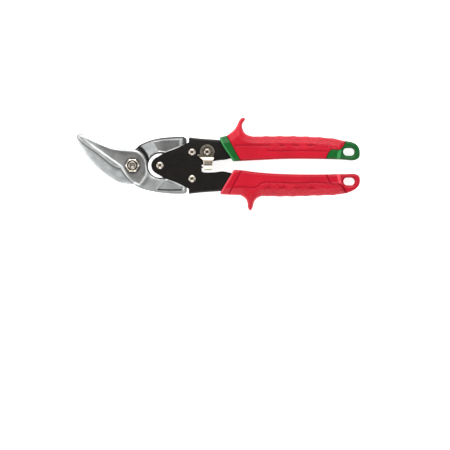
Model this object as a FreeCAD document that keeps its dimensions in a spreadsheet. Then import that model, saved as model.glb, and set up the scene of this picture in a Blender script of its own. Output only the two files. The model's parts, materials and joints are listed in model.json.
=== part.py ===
"""Compound-action aviation snips, in millimetres.

The model's own frame: the main bolt runs along Z through the origin, the jaws meet at Z = 0, the
blades point to -X, the handles to +X, and +Z is the side that the nut is on.  Two forged jaws turn on
the main bolt.  Two stamped steel channels turn on a rivet in front of them, and each channel carries
the rivet of one jaw's tail, so squeezing the handles closes the blades with a double leverage.
Every sub-part is then placed by one shift, which puts the origin under the middle of the closed tool.
"""

import FreeCAD, Part
import math
import os

import Sketcher

V = FreeCAD.Vector

# alias, value in mm, what it is
DIMENSIONS = [
    ("PivotX", 24.7, "main bolt to handle rivet"),
    ("JawRivetX", 53.5, "main bolt to jaw rivets, along X"),
    ("JawRivetY", 11.9, "jaw rivets off the centre line"),
    ("LatchX", 67.1, "main bolt to latch rivet, along X"),
    ("LatchY", 12.1, "latch rivet off the centre line"),
    ("JawThick", 5.2, "forging, each jaw"),
    ("MateGap", 0.02, "half the film of oil between the jaws"),
    ("TipThick", 2.4, "jaw thickness at the tip"),
    ("PanelDeep", 0.8, "sunk panel in a jaw's tail"),
    ("ChannelHalf", 5.3, "mid plane to an inner cheek"),
    ("SheetThick", 2.0, "handle stamping"),
    ("CheekGap", 0.05, "between two cheeks"),
    ("BendRadius", 1.8, "outside bend of the stampings"),
    ("RunGap", 0.05, "radial clearance of a rivet"),
    ("RivetShank", 2.5, "jaw and handle rivets, radius"),
    ("RivetHead", 3.3, "their heads, radius"),
    ("HeadHigh", 1.3, "their heads, height"),
    ("LatchShank", 2.2, "latch rivet, radius"),
    ("LatchHead", 3.1, "latch rivet's head, radius"),
    ("SpacerRadius", 5.0, "spacer beside a jaw's eye"),
    ("SleeveRadius", 4.2, "sleeve on the handle rivet"),
    ("BoltRadius", 4.0, "main bolt, radius"),
    ("BoltSlack", 0.35, "main bolt in the jaw that it doesn't ride on"),
    ("HexFlats", 11.0, "nut and bolt head, across flats"),
    ("NutHigh", 4.6, "nut"),
    ("BoltOut", 0.9, "bolt's end beyond the nut"),
    ("BoltHeadHigh", 3.6, "bolt's hex head"),
    ("WasherThick", 0.9, "washer under the bolt's head"),
    ("WasherRadius", 7.0, "washer under the bolt's head"),
    ("LatchSheet", 1.5, "latch stamping"),
    ("WaveThick", 0.4, "friction washer under the latch"),
    ("CoilRadius", 5.6, "opening spring, middle of the wire"),
    ("WireRadius", 0.8, "opening spring's wire"),
    ("CoilPitch", 1.75, "opening spring"),
    ("GripHalf", 11.5, "mid plane to a grip's flat side"),
    ("CoreHalf", 10.3, "mid plane to a core's side under the overmould"),
    ("ShiftX", -76.73, "main bolt to the middle of the tool, X"),
    ("ShiftY", -1.45, "main bolt to the middle of the tool, Y"),
]

doc = FreeCAD.newDocument("AviationSnips")
sheet = doc.addObject("Spreadsheet::Sheet", "Sheet")
for row, (alias, millimetres, meaning) in enumerate(DIMENSIONS, start=1):
    sheet.set(f"A{row}", meaning)
    sheet.set(f"B{row}", str(millimetres))
    sheet.setAlias(f"B{row}", alias)
doc.recompute()

# Levels along Z, as expressions on the sheet
INNER_OUT = "(Sheet.ChannelHalf + Sheet.SheetThick)"
OUTER_IN = f"({INNER_OUT} + Sheet.CheekGap)"
OUTER_OUT = f"({OUTER_IN} + Sheet.SheetThick)"
NUT_TOP = "(Sheet.JawThick + Sheet.NutHigh)"
WASHER_BACK = "(-Sheet.JawThick - Sheet.WasherThick)"
LATCH_SEAT = f"({INNER_OUT} + Sheet.WaveThick)"


def value(expression):
    """What an expression on the sheet comes to, in mm."""
    found = sheet.evalExpression(expression)
    return float(getattr(found, "Value", found))


PIVOT = V(value("Sheet.PivotX"), 0, 0)
JAW_RIVET = V(value("Sheet.JawRivetX"), value("Sheet.JawRivetY"), 0)
LATCH_RIVET = V(value("Sheet.LatchX"), value("Sheet.LatchY"), 0)
SHEET_THICK = value("Sheet.SheetThick")


# ---------------------------------------------------------------- outlines


def arc(centre, radius, start, stop):
    """An arc from one angle to another, in degrees, as three points marked as an arc."""
    angles = (start, (start + stop) / 2, stop)
    turns = [math.radians(a) for a in angles]
    return ["arc"] + [(centre.x + radius * math.cos(t), centre.y + radius * math.sin(t)) for t in turns]


def mirrored(runs):
    """The same outline on the other side of the centre line."""
    return [[p if p == "arc" else (p[0], -p[1]) for p in run] for run in runs]


def joined(runs):
    """Each run starts where the one before it ends, and the last one ends at the first one's start."""
    ends = []
    for run in runs:
        body = [p for p in run if p != "arc"]
        ends.append((run[0] == "arc", body))
    for i, (_, body) in enumerate(ends):
        previous = ends[i - 1][1]
        if math.dist(previous[-1], body[0]) > 1e-6:
            if ends[i - 1][0]:
                body[0] = previous[-1]
            else:
                previous[-1] = body[0]
    return ends


def origin_plane(body, role):
    """One of the body's own origin planes."""
    return next(f for f in body.Origin.OriginFeatures if f.Role == role)


def sketch_on(body, name, level="0", role="XY_Plane"):
    """An empty sketch on a plane of the body, raised to a level."""
    sketch = body.newObject("Sketcher::SketchObject", name)
    sketch.AttachmentSupport = [(origin_plane(body, role), "")]
    sketch.MapMode = "FlatFace"
    if level != "0":
        sketch.setExpression("AttachmentOffset.Base.z", level)
    return sketch


def draw(sketch, runs):
    """Draws a closed outline: a run of two points is a line, more are a smooth curve or an arc."""
    for is_arc, body in joined(runs):
        spots = [V(x, y, 0) for x, y in body]
        if is_arc:
            sketch.addGeometry(Part.Arc(*spots), False)
        elif len(spots) == 2:
            sketch.addGeometry(Part.LineSegment(*spots), False)
        else:
            curve = Part.BSplineCurve()
            curve.interpolate(spots)
            sketch.addGeometry(curve, False)


def tie(sketch, element, point, across, up):
    """Ties one point of a sketch to two expressions on the sheet."""
    for kind, expression, axis in (("DistanceX", across, -2), ("DistanceY", up, -1)):
        if expression == "0":
            sketch.addConstraint(Sketcher.Constraint("PointOnObject", element, point, axis))
        else:
            index = sketch.addConstraint(
                Sketcher.Constraint(kind, -1, 1, element, point, value(expression)))
            sketch.setExpression(f"Constraints[{index}]", expression)


def draw_tied(sketch, corners):
    """A closed outline of straight lines whose corners are pairs of expressions."""
    spots = [V(value(across), value(up), 0) for across, up in corners]
    count = len(spots)
    for i in range(count):
        sketch.addGeometry(Part.LineSegment(spots[i], spots[(i + 1) % count]), False)
    for i in range(count):
        sketch.addConstraint(Sketcher.Constraint("Coincident", i, 2, (i + 1) % count, 1))
    for i, (across, up) in enumerate(corners):
        tie(sketch, i, 1, across, up)


def draw_circle(sketch, across, up, radius):
    """A circle whose centre and radius follow the sheet."""
    centre = V(value(across), value(up), 0)
    element = sketch.addGeometry(Part.Circle(centre, V(0, 0, 1), value(radius)), False)
    tie(sketch, element, 3, across, up)
    index = sketch.addConstraint(Sketcher.Constraint("Radius", element, value(radius)))
    sketch.setExpression(f"Constraints[{index}]", radius)


# ---------------------------------------------------------------- features


def new_body(name, across="0", up="0"):
    """A body whose origin stands at a point of the tool's own frame."""
    body = doc.addObject("PartDesign::Body", name)
    body.Label = name
    body.setExpression("Placement.Base.x", f"{across} + Sheet.ShiftX")
    body.setExpression("Placement.Base.y", f"{up} + Sheet.ShiftY")
    body.setExpression("Placement.Base.z", "Sheet.GripHalf")
    return body


def pad(body, name, runs, bottom, thickness):
    """Material from a level upwards, inside a drawn outline."""
    sketch = sketch_on(body, name + "_outline", bottom)
    draw(sketch, runs)
    feature = body.newObject("PartDesign::Pad", name)
    feature.Profile = sketch
    feature.setExpression("Length", thickness)
    sketch.Visibility = False
    doc.recompute()
    return feature


def cut_down(body, name, sketch, depth):
    """Takes away what is under a sketch, down to a depth."""
    feature = body.newObject("PartDesign::Pocket", name)
    feature.Profile = sketch
    feature.setExpression("Length", depth)
    sketch.Visibility = False
    doc.recompute()
    return feature


def drill(body, name, across, up, radius, top, depth):
    """A round hole along Z."""
    sketch = sketch_on(body, name + "_circle", top)
    draw_circle(sketch, across, up, radius)
    return cut_down(body, name, sketch, depth)


def turned(name, corners, across="0", up="0"):
    """A turned piece about its own Z axis: corners are (radius, level) pairs of expressions."""
    body = new_body(name, across, up)
    sketch = sketch_on(body, name + "_profile", role="XZ_Plane")
    draw_tied(sketch, corners)
    feature = body.newObject("PartDesign::Revolution", name + "_turn")
    feature.Profile = sketch
    feature.ReferenceAxis = (sketch, ["V_Axis"])
    feature.Angle = 360
    sketch.Visibility = False
    doc.recompute()
    return body


def boolean(kind, name, base, tool):
    """A cut or a common of two objects."""
    feature = doc.addObject(f"Part::{kind}", name)
    feature.Label = name
    feature.Base = base
    feature.Tool = tool
    doc.recompute()
    return feature


# ---------------------------------------------------------------- jaws

EYE_RADIUS = 6.3
ARCH_RADIUS = 11.6
BOSS_CLEAR = 15.1
STEP_X = 9.5
THICK_LEVEL_OVERLAP = "1"
LOWER_EYE = V(JAW_RIVET.x, -JAW_RIVET.y, 0)

# From the arch round the lower tail to its outer edge.  The front jaw has it as drawn, the back jaw
# has it mirrored.
TAIL_RUNS = [
    [(28.67, -10.9), (32, -10.7), (38, -9.4), (44, -8.2), (49.05, -7.45)],
    arc(LOWER_EYE, EYE_RADIUS, 135, -125),
    [(49.89, -17.06), (48.5, -18.8)],
    [(48.5, -18.8), (48.5, -23.4)],
    [(48.5, -23.4), (47.9, -24.7), (46, -25.4)],
]
LOWER_TAIL_EDGE = [(46, -25.4), (40, -25.5), (34, -25.3), (28, -24.7), (22, -24), (16, -22.8)]
UPPER_TAIL_EDGE = [(46, -25.9), (42, -26), (34, -25.6), (28, -25.1), (22, -24.2), (16, -22.7)]

FRONT_BLADE_TOP = [(-50.9, 25.6), (-49.5, 27.9), (-46.5, 28.6), (-42, 27.2), (-34, 23.4), (-26, 19.4),
                   (-18, 17), (-10, 15.5), (2, 14.2)]
FRONT_BOSS = [(2, 14.2), (6, 12.6), (9.5, 9.2), (12, 4.6), (13.14, 1.01)]
FRONT_HEEL = [(16, -22.8), (10, -21.2), (5, -19.2), (0.5, -16.3), (-5, -11.5), (-8, -7.6), (-10.3, -4.2)]
FRONT_EDGE = [(-11.4, -3), (-16, -1.7), (-24, 4), (-36, 13.5), (-44, 19), (-50.9, 25.6)]

BACK_BLADE_LOW = [(-50.5, 25.8), (-50.2, 23), (-47, 16.5), (-39, 5.5), (-30, -3.1), (-22, -9.4),
                  (-14, -14.4), (-6, -16.5), (1, -16.5)]
BACK_BOSS = [(1, -16.5), (6, -13.6), (10, -9.6), (12.5, -4.6), (13.14, -1.01)]
BACK_TAIL_ROOT = [(16, 22.7), (10, 20.3), (6, 18.2), (3, 15.7), (-4, 12), (-9, 6), (-13.5, 1.6)]
BACK_EDGE = [(-13.5, 1.6), (-20, 2.9), (-30, 10.2), (-40, 17.8), (-50.5, 25.8)]

FRONT_PANEL = [(22.5, -20.6), (29.5, -12.4), (32, -12.2), (46.4, -19), (46.2, -20.8)]
BACK_PANEL = [(18.6, 21.4), (23.2, 12.8), (30, 12.4), (42.5, 17.4), (42.5, 23.6), (30, 23)]


def polygon(corners):
    """Straight runs round a list of corners."""
    return [[a, b] for a, b in zip(corners, corners[1:] + corners[:1])]


def thick_tail(edge):
    """The part of a tail that fills the channel, clear of the other jaw's boss."""
    step_y = -math.sqrt(BOSS_CLEAR**2 - STEP_X**2)
    meet_x = (BOSS_CLEAR**2 - ARCH_RADIUS**2 + PIVOT.x**2) / (2 * PIVOT.x)
    meet = math.degrees(math.atan2(-math.sqrt(BOSS_CLEAR**2 - meet_x**2), meet_x))
    root = math.degrees(math.atan2(step_y, STEP_X))
    arch_start = 360 + math.degrees(math.atan2(-math.sqrt(BOSS_CLEAR**2 - meet_x**2), meet_x - PIVOT.x))
    end = (STEP_X, edge[-1][1] + 2.6)
    return (
        [arc(V(0, 0, 0), BOSS_CLEAR, root, meet), arc(PIVOT, ARCH_RADIUS, arch_start, 290)]
        + TAIL_RUNS
        + [edge, [edge[-1], end], [end, (STEP_X, step_y)]]
    )


TIP_END = "-55"
THIN_FROM = "-14"


def thinned_blade(body, side):
    """Takes a wedge off the blade's outer face, so that it thins to the tip."""
    sketch = sketch_on(body, "thinning_outline", role="XZ_Plane")
    beyond = "(Sheet.JawThick + 3)"
    corners = [(TIP_END, "Sheet.TipThick"), (THIN_FROM, "Sheet.JawThick")]
    corners += [(THIN_FROM, beyond), (TIP_END, beyond)]
    if side < 0:
        corners = [(across, f"-{level}") for across, level in reversed(corners)]
    draw_tied(sketch, corners)
    feature = body.newObject("PartDesign::Pocket", "thinning")
    feature.Profile = sketch
    feature.Type = "ThroughAll"
    feature.SideType = "Symmetric"
    sketch.Visibility = False
    doc.recompute()


def jaw(name, side, outline, tail, panel, bolt_hole):
    """A forged jaw: side is +1 for the one in front of the mating plane, -1 for the one behind it."""
    body = new_body(name)
    height = "Sheet.JawThick - Sheet.MateGap"
    if side > 0:
        pad(body, "forging", outline, "Sheet.MateGap", height)
        pad(body, "tail", tail, "-Sheet.JawThick", f"Sheet.JawThick + {THICK_LEVEL_OVERLAP}")
    else:
        pad(body, "forging", outline, "-Sheet.JawThick", height)
        pad(body, "tail", tail, f"-{THICK_LEVEL_OVERLAP}", f"Sheet.JawThick + {THICK_LEVEL_OVERLAP}")
    thinned_blade(body, side)
    sketch = sketch_on(body, "panel_outline", "Sheet.JawThick")
    draw(sketch, polygon(panel))
    cut_down(body, "panel", sketch, "Sheet.PanelDeep")
    through = "4 * Sheet.JawThick"
    drill(body, "bolt_hole", "0", "0", bolt_hole, "2 * Sheet.JawThick", through)
    eye = "-Sheet.JawRivetY" if side > 0 else "Sheet.JawRivetY"
    drill(body, "eye_hole", "Sheet.JawRivetX", eye, "Sheet.RivetShank + Sheet.RunGap",
          "2 * Sheet.JawThick", through)
    return body


front_outline = (
    [FRONT_BLADE_TOP, FRONT_BOSS, arc(PIVOT, ARCH_RADIUS, 175, 290)]
    + TAIL_RUNS
    + [LOWER_TAIL_EDGE, FRONT_HEEL, [FRONT_HEEL[-1], FRONT_EDGE[0]], FRONT_EDGE]
)
back_outline = (
    [BACK_BLADE_LOW, BACK_BOSS, arc(PIVOT, ARCH_RADIUS, 185, 70)]
    + mirrored(TAIL_RUNS)
    + [mirrored([UPPER_TAIL_EDGE])[0], BACK_TAIL_ROOT, BACK_EDGE]
)
front_jaw = jaw("front_jaw", 1, front_outline, thick_tail(LOWER_TAIL_EDGE), FRONT_PANEL,
                "Sheet.BoltRadius + Sheet.RunGap")
back_jaw = jaw("back_jaw", -1, back_outline, mirrored(thick_tail(UPPER_TAIL_EDGE)), BACK_PANEL,
               "Sheet.BoltRadius + Sheet.BoltSlack")

# ---------------------------------------------------------------- handles

NOSE_RADIUS = 7.8
STEEL_END = 156
WEB_TOP = [(50.7, 25.5), (60, 24.4), (70, 23.6), (80, 23), (110, 22), (STEEL_END, 20.5)]
FAN_TOP = [(20.8, 6.75), (26, 9.8), (30, 12), (38, 14.7), (45, 18), (50.5, 20.8)]
STEEL_LOW = [(STEEL_END, 10.5), (120, 9.3), (98, 8.2), (88.5, 6.7)]
INNER_LOW = [(88.5, 6.7), (80, 5), (73.5, 4), (62, 0.8), (56, -2), (47, -4.6), (36, -6.5),
             (24.02, -7.77)]
INNER_CUT_BACK = [(88.5, 6.7), (84, 6.1), (77, 6.1), (70, 6.5), (64, 6.2), (60.5, 3), (57, -1.5),
                  (47, -4.6), (36, -6.5), (24.02, -7.77)]
TOOTH_SIDE = [
    [(88.5, 6.7), (84, 5.7), (81.5, 5.3), (77, 5.7), (70, 6.3), (62.3, 6)],
    [(62.3, 6), (62, 2.3)],
    [(62, 2.3), (63.3, 2.1)],
    [(63.3, 2.1), (63.3, 1)],
    [(63.3, 1), (62, 0.9)],
    [(62, 0.9), (62, 0), (61.5, -4), (59, -6.1), (57.4, -8.2)],
    [(57.4, -8.2), (50, -8), (36, -7.9), (24.02, -7.77)],
]


def cheek(low_runs):
    """The side outline of a channel, with its web at +Y."""
    return (
        [arc(PIVOT, NOSE_RADIUS, 265, 120), FAN_TOP, [(50.5, 20.8), (50.7, 25.5)], WEB_TOP,
         [(STEEL_END, 20.5), (STEEL_END, 10.5)], STEEL_LOW]
        + low_runs
    )


def web():
    """The strip that joins the two cheeks along the outer side."""
    under = [(x, y - SHEET_THICK) for x, y in reversed(WEB_TOP)]
    return [WEB_TOP, [WEB_TOP[-1], under[0]], under, [under[-1], WEB_TOP[0]]]


def round_bends(body, feature, side):
    """Rounds the two long outside bends between the web and the cheeks."""
    edges = []
    for index, edge in enumerate(feature.Shape.Edges, start=1):
        box = edge.BoundBox
        outer = box.YMax if side > 0 else -box.YMin
        if box.XLength > 90 and box.ZLength < 0.01 and outer > 25.4:
            edges.append(f"Edge{index}")
    fillet = body.newObject("PartDesign::Fillet", "bends")
    fillet.Base = (feature, edges)
    fillet.setExpression("Radius", "Sheet.BendRadius")
    doc.recompute()
    print(body.Label, "bends rounded:", len(edges))


def handle(name, side):
    """A stamped channel: side is +1 for the upper one, and -1 for the lower one, which is the same
    stamping turned over, with its inner cheek cut back behind the latch."""
    body = new_body(name)
    outer, strip = cheek(TOOTH_SIDE), web()
    inner = cheek([INNER_LOW if side > 0 else INNER_CUT_BACK])
    if side > 0:
        outer_level, inner_level, web_level = f"-{OUTER_OUT}", "Sheet.ChannelHalf", f"-{OUTER_OUT}"
    else:
        outer, inner, strip = mirrored(outer), mirrored(inner), mirrored(strip)
        outer_level, inner_level, web_level = OUTER_IN, f"-{INNER_OUT}", f"-{INNER_OUT}"
    pad(body, "web", strip, web_level, f"{OUTER_OUT} + {INNER_OUT}")
    pad(body, "outer_cheek", outer, outer_level, "Sheet.SheetThick")
    last = pad(body, "inner_cheek", inner, inner_level, "Sheet.SheetThick")
    round_bends(body, last, side)
    top, through = "3 * Sheet.ChannelHalf", "6 * Sheet.ChannelHalf"
    hole = "Sheet.RivetShank + Sheet.RunGap"
    drill(body, "pivot_hole", "Sheet.PivotX", "0", hole, top, through)
    eye = "Sheet.JawRivetY" if side > 0 else "-Sheet.JawRivetY"
    drill(body, "jaw_rivet_hole", "Sheet.JawRivetX", eye, hole, top, through)
    if side > 0:
        drill(body, "latch_rivet_hole", "Sheet.LatchX", "Sheet.LatchY",
              "Sheet.LatchShank + Sheet.RunGap", top, top)
    return body


upper_handle = handle("upper_handle", 1)
lower_handle = handle("lower_handle", -1)

# ---------------------------------------------------------------- rivets, bolt, washers


def rivet(name, front, back, across, up, shank="Sheet.RivetShank", head="Sheet.RivetHead"):
    """A rivet with a dished, rolled head at each end; front and back are the levels it clamps."""
    corners = [
        ("0", f"{back} - 0.5 * Sheet.HeadHigh"),
        ("0.4 * " + shank, f"{back} - Sheet.HeadHigh"),
        (f"{head} - 0.7", f"{back} - Sheet.HeadHigh"),
        (head, f"{back} - 0.5 * Sheet.HeadHigh"),
        (head, back),
        (shank, back),
        (shank, front),
        (head, front),
        (head, f"{front} + 0.5 * Sheet.HeadHigh"),
        (f"{head} - 0.7", f"{front} + Sheet.HeadHigh"),
        ("0.6 * " + shank, f"{front} + Sheet.HeadHigh"),
        ("0.4 * " + shank, f"{front} + 0.4 * Sheet.HeadHigh"),
        ("0", f"{front} + 0.3 * Sheet.HeadHigh"),
    ]
    return turned(name, corners, across, up)


def ring(name, inner, outer, bottom, top, across="0", up="0"):
    """A plain washer or sleeve."""
    return turned(name, [(inner, bottom), (outer, bottom), (outer, top), (inner, top)], across, up)


def hexagon(sketch):
    """A hexagon with two corners on the X axis, tied to its size across flats."""
    half, quarter = "Sheet.HexFlats / sqrt(3)", "Sheet.HexFlats / sqrt(12)"
    flat = "Sheet.HexFlats / 2"
    draw_tied(sketch, [(half, "0"), (quarter, flat), (f"-{quarter}", flat), (f"-{half}", "0"),
                       (f"-{quarter}", f"-{flat}"), (quarter, f"-{flat}")])


def hex_body(name, bottom, height):
    """A body with a hexagonal pad."""
    body = new_body(name)
    sketch = sketch_on(body, "hexagon", bottom)
    hexagon(sketch)
    feature = body.newObject("PartDesign::Pad", "hex_pad")
    feature.Profile = sketch
    feature.setExpression("Length", height)
    sketch.Visibility = False
    doc.recompute()
    return body


def chamfer_corners(body, level, inward):
    """Turns the hexagon's corners down at one end, as a nut's are."""
    sketch = sketch_on(body, "corner_profile", role="XZ_Plane")
    reach = "Sheet.HexFlats / sqrt(3) + 0.2"
    step = "+ 1" if inward > 0 else "- 1"
    out = "- 1" if inward > 0 else "+ 1"
    draw_tied(sketch, [("Sheet.HexFlats / 2", level), (reach, f"{level} {step}"),
                       (reach, f"{level} {out}"), ("Sheet.HexFlats / 2", f"{level} {out}")])
    feature = body.newObject("PartDesign::Groove", "corner_groove")
    feature.Profile = sketch
    feature.ReferenceAxis = (sketch, ["V_Axis"])
    feature.Angle = 360
    sketch.Visibility = False
    doc.recompute()


rivet("handle_pivot_rivet", OUTER_OUT, f"-{OUTER_OUT}", "Sheet.PivotX", "0")
rivet("upper_jaw_rivet", INNER_OUT, f"-{OUTER_OUT}", "Sheet.JawRivetX", "Sheet.JawRivetY")
rivet("lower_jaw_rivet", OUTER_OUT, f"-{INNER_OUT}", "Sheet.JawRivetX", "-Sheet.JawRivetY")
rivet("latch_rivet", f"{LATCH_SEAT} + Sheet.LatchSheet + Sheet.CheekGap", "Sheet.ChannelHalf",
      "Sheet.LatchX", "Sheet.LatchY", "Sheet.LatchShank", "Sheet.LatchHead")
ring("handle_pivot_sleeve", "Sheet.RivetShank + Sheet.RunGap", "Sheet.SleeveRadius",
     "-Sheet.ChannelHalf + Sheet.CheekGap", "Sheet.ChannelHalf - Sheet.CheekGap", "Sheet.PivotX", "0")
ring("upper_jaw_spacer", "Sheet.RivetShank + Sheet.RunGap", "Sheet.SpacerRadius",
     f"-{INNER_OUT}", "-Sheet.ChannelHalf + Sheet.CheekGap", "Sheet.JawRivetX", "Sheet.JawRivetY")
ring("lower_jaw_spacer", "Sheet.RivetShank + Sheet.RunGap", "Sheet.SpacerRadius",
     "Sheet.ChannelHalf - Sheet.CheekGap", INNER_OUT, "Sheet.JawRivetX", "-Sheet.JawRivetY")
ring("latch_washer", "Sheet.LatchShank + Sheet.RunGap", "Sheet.LatchHead + 1.2",
     INNER_OUT, f"{INNER_OUT} + Sheet.WaveThick - 0.02", "Sheet.LatchX", "Sheet.LatchY")
ring("bolt_washer", "Sheet.BoltRadius + Sheet.RunGap", "Sheet.WasherRadius",
     WASHER_BACK, "-Sheet.JawThick - 0.02")

pivot_nut = hex_body("pivot_nut", "Sheet.JawThick", "Sheet.NutHigh")
drill(pivot_nut, "thread_bore", "0", "0", "Sheet.BoltRadius + 0.02", f"{NUT_TOP} + 1", f"2 * {NUT_TOP}")
chamfer_corners(pivot_nut, NUT_TOP, -1)

pivot_bolt = hex_body("pivot_bolt", f"{WASHER_BACK} - Sheet.BoltHeadHigh", "Sheet.BoltHeadHigh")
chamfer_corners(pivot_bolt, f"({WASHER_BACK} - Sheet.BoltHeadHigh)", 1)
shank = sketch_on(pivot_bolt, "shank_profile", role="XZ_Plane")
bolt_end = f"({NUT_TOP} + Sheet.BoltOut)"
draw_tied(shank, [("0", f"{WASHER_BACK} - 1"), ("Sheet.BoltRadius", f"{WASHER_BACK} - 1"),
                  ("Sheet.BoltRadius", f"{bolt_end} - 0.8"), ("Sheet.BoltRadius - 0.8", bolt_end),
                  ("1.4", bolt_end), ("0", f"{bolt_end} - 0.7")])
turn = pivot_bolt.newObject("PartDesign::Revolution", "shank")
turn.Profile = shank
turn.ReferenceAxis = (shank, ["V_Axis"])
turn.Angle = 360
shank.Visibility = False
doc.recompute()


# ---------------------------------------------------------------- opening spring


def opening_spring():
    """A torsion spring on the sleeve, whose legs push the two jaw tails apart."""
    radius, wire = value("Sheet.CoilRadius"), value("Sheet.WireRadius")
    pitch = value("Sheet.CoilPitch")
    height = 3.5 * pitch
    helix = Part.makeHelix(pitch, height, radius, 0, True)
    helix.rotate(V(0, 0, 0), V(0, 0, 1), -90)
    helix.translate(V(PIVOT.x, 0, -height / 2))
    start = helix.Edges[0].valueAt(helix.Edges[0].FirstParameter)
    along = helix.Edges[0].tangentAt(helix.Edges[0].FirstParameter)
    profile = Part.Wire(Part.Circle(start, along, wire).toShape())
    shape = Part.Wire(helix.Edges).makePipeShell([profile], True, True)
    for leg_side in (1, -1):
        root = V(PIVOT.x, leg_side * radius, leg_side * height / 2)
        tip = V(44, leg_side * 7.15, leg_side * height / 2)
        leg = Part.makeCylinder(wire, (tip - root).Length, root, tip - root)
        shape = shape.fuse([leg, Part.makeSphere(wire, root)])
    feature = doc.addObject("Part::Feature", "opening_spring")
    feature.Label = "opening_spring"
    feature.Shape = shape
    feature.setExpression("Placement.Base.x", "Sheet.ShiftX")
    feature.setExpression("Placement.Base.y", "Sheet.ShiftY")
    feature.setExpression("Placement.Base.z", "Sheet.GripHalf")
    return feature


opening_spring()

# ---------------------------------------------------------------- latch

LATCH_PLAN = [
    arc(LATCH_RIVET, 6.7, -36, 196),
    [(60.66, 10.25), (58.3, 9.6)],
    [(58.3, 9.6), (58.2, 9)],
    [(58.2, 9), (60.2, 7.2), (62.8, 5.2)],
    [(62.8, 5.2), (63.4, 2.5), (64, -0.3)],
    [(64, -0.3), (64.6, -4)],
    [(64.6, -4), (71, -4)],
    [(71, -4), (71.5, 0), (72.6, 5), (73.6, 6.6)],
    [(73.6, 6.6), (72.52, 8.16)],
]
# (Y, height over the seat) along the underside of the stamping
LATCH_UNDERSIDE = [(20, 0), (7, 0), (4.9, 1.4), (3.9, 1.4), (0.9, -0.1), (0, -0.1), (-5, 1.1)]
LATCH_FROM = "55"
LATCH_WIDE = 22


def latch():
    """A stamped plate that swings on its rivet: its waved side outline cut to its plan outline."""
    side = new_body("latch_side")
    sheet_thick = "Sheet.LatchSheet"
    sketch = sketch_on(side, "side_profile", LATCH_FROM, "YZ_Plane")
    under = [(str(y), f"{LATCH_SEAT} + {up}") for y, up in LATCH_UNDERSIDE]
    over = [(y, f"{up} + {sheet_thick}") for y, up in reversed(under)]
    draw_tied(sketch, [(y, up) for y, up in under + over])
    feature = side.newObject("PartDesign::Pad", "side_pad")
    feature.Profile = sketch
    feature.Length = LATCH_WIDE
    doc.recompute()
    plan = new_body("latch_plan")
    pad(plan, "plan_pad", LATCH_PLAN, "Sheet.ChannelHalf", "2 * Sheet.ChannelHalf")
    drill(plan, "latch_hole", "Sheet.LatchX", "Sheet.LatchY", "Sheet.LatchShank + Sheet.RunGap",
          "4 * Sheet.ChannelHalf", "4 * Sheet.ChannelHalf")
    return boolean("Common", "latch", side, plan)


latch()

# ---------------------------------------------------------------- grips

UPPER_FRONT = [(97, 4.3), (92, 13), (88, 20.5), (84.5, 27)]
UPPER_HORN = [(84.5, 27), (88, 29.4), (92.5, 34), (95.7, 40.5), (99.2, 43.3), (101.2, 42.4),
              (99.3, 38.6), (98.8, 33.6), (101, 29.1), (108, 26.2)]
UPPER_BACK = [(108, 26.2), (126, 26.4), (146, 26.4), (166, 25.6), (182, 24), (191.5, 22)]
UPPER_TAIL_JOINT = [(191.5, 22), (189, 17), (185.5, 14.2), (179, 14.2), (173.7, 6)]
UPPER_BELLY = [(173.7, 6), (158, 6.2), (130, 5.9), (114, 5.1), (97, 4.3)]
UPPER_COLLAR = [[(77.9, 25.4), (84.5, 27)], list(reversed(UPPER_FRONT)), [(97, 4.3), (90.3, 4)],
                [(90.3, 4), (84, 13), (79.6, 20.5), (77.9, 25.4)]]
UPPER_END = [(191.5, 22), (198, 20.6), (201.9, 18), (203.7, 14.5), (204.1, 10.5), (203.3, 7),
             (200.8, 5.3), (193, 5.1), (186, 5.6), (173.7, 6)]
UPPER_TAIL = [list(reversed(UPPER_TAIL_JOINT)), UPPER_END]
UPPER_SPINE = polygon([(88, 11), (93, 6.3), (181, 8.2), (184, 20.3), (160, 22.6), (98, 23.6),
                       (83, 23.6)])
UPPER_HOLE = V(194.25, 12.3, 0)

LOWER_JOINT = [(98, -4.3), (86, -26.2)]
LOWER_BELLY = [(86, -26.2), (91, -26.4), (97, -26.7)]
LOWER_HORN = [(97, -26.7), (101, -29.3), (103.2, -33.5), (103.8, -38.4), (105.8, -40.6),
              (107.7, -38.4), (108.9, -33.5), (111.9, -29.3), (116, -27.4)]
LOWER_BACK = [(116, -27.4), (142, -27.7), (170, -26.8), (188, -25.6), (192, -24.9)]
LOWER_TAIL_JOINT = [(192, -24.9), (189, -19.5), (185.5, -17), (179, -16.6), (174.3, -8)]
LOWER_TOP = [(174.3, -8), (150, -8), (130, -7.4), (110, -5.9), (98, -4.3)]
LOWER_END = [(192, -24.9), (197, -23), (200.8, -20.6), (203.5, -17.2), (204.2, -13), (203.4, -9.6),
             (200.8, -7.9), (194, -7.6), (186, -7.7), (174.3, -8)]
LOWER_TAIL = [list(reversed(LOWER_TAIL_JOINT)), LOWER_END]
LOWER_SPINE = polygon([(87, -10), (93, -6.5), (181, -10.4), (184, -22.8), (160, -24.6), (98, -24.1),
                       (82, -24.1)])
LOWER_COLLAR = [[(91, -3.9), (84.8, -14), (78.6, -24.8)], [(78.6, -24.8), (79.4, -25.9)],
                [(79.4, -25.9), (86, -26.2)], list(reversed(LOWER_JOINT)), [(98, -4.3), (91, -3.9)]]
LOWER_HOLE = V(194.5, -14.3, 0)
HOLE_HALF = 1.75
HOLE_RADIUS = 3.5


def slot(centre):
    """A round-ended slot along X."""
    left, right = V(centre.x - HOLE_HALF, centre.y, 0), V(centre.x + HOLE_HALF, centre.y, 0)
    top, low = centre.y + HOLE_RADIUS, centre.y - HOLE_RADIUS
    return [arc(left, HOLE_RADIUS, 90, 270), [(left.x, low), (right.x, low)],
            arc(right, HOLE_RADIUS, -90, 90), [(right.x, top), (left.x, top)]]


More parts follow.
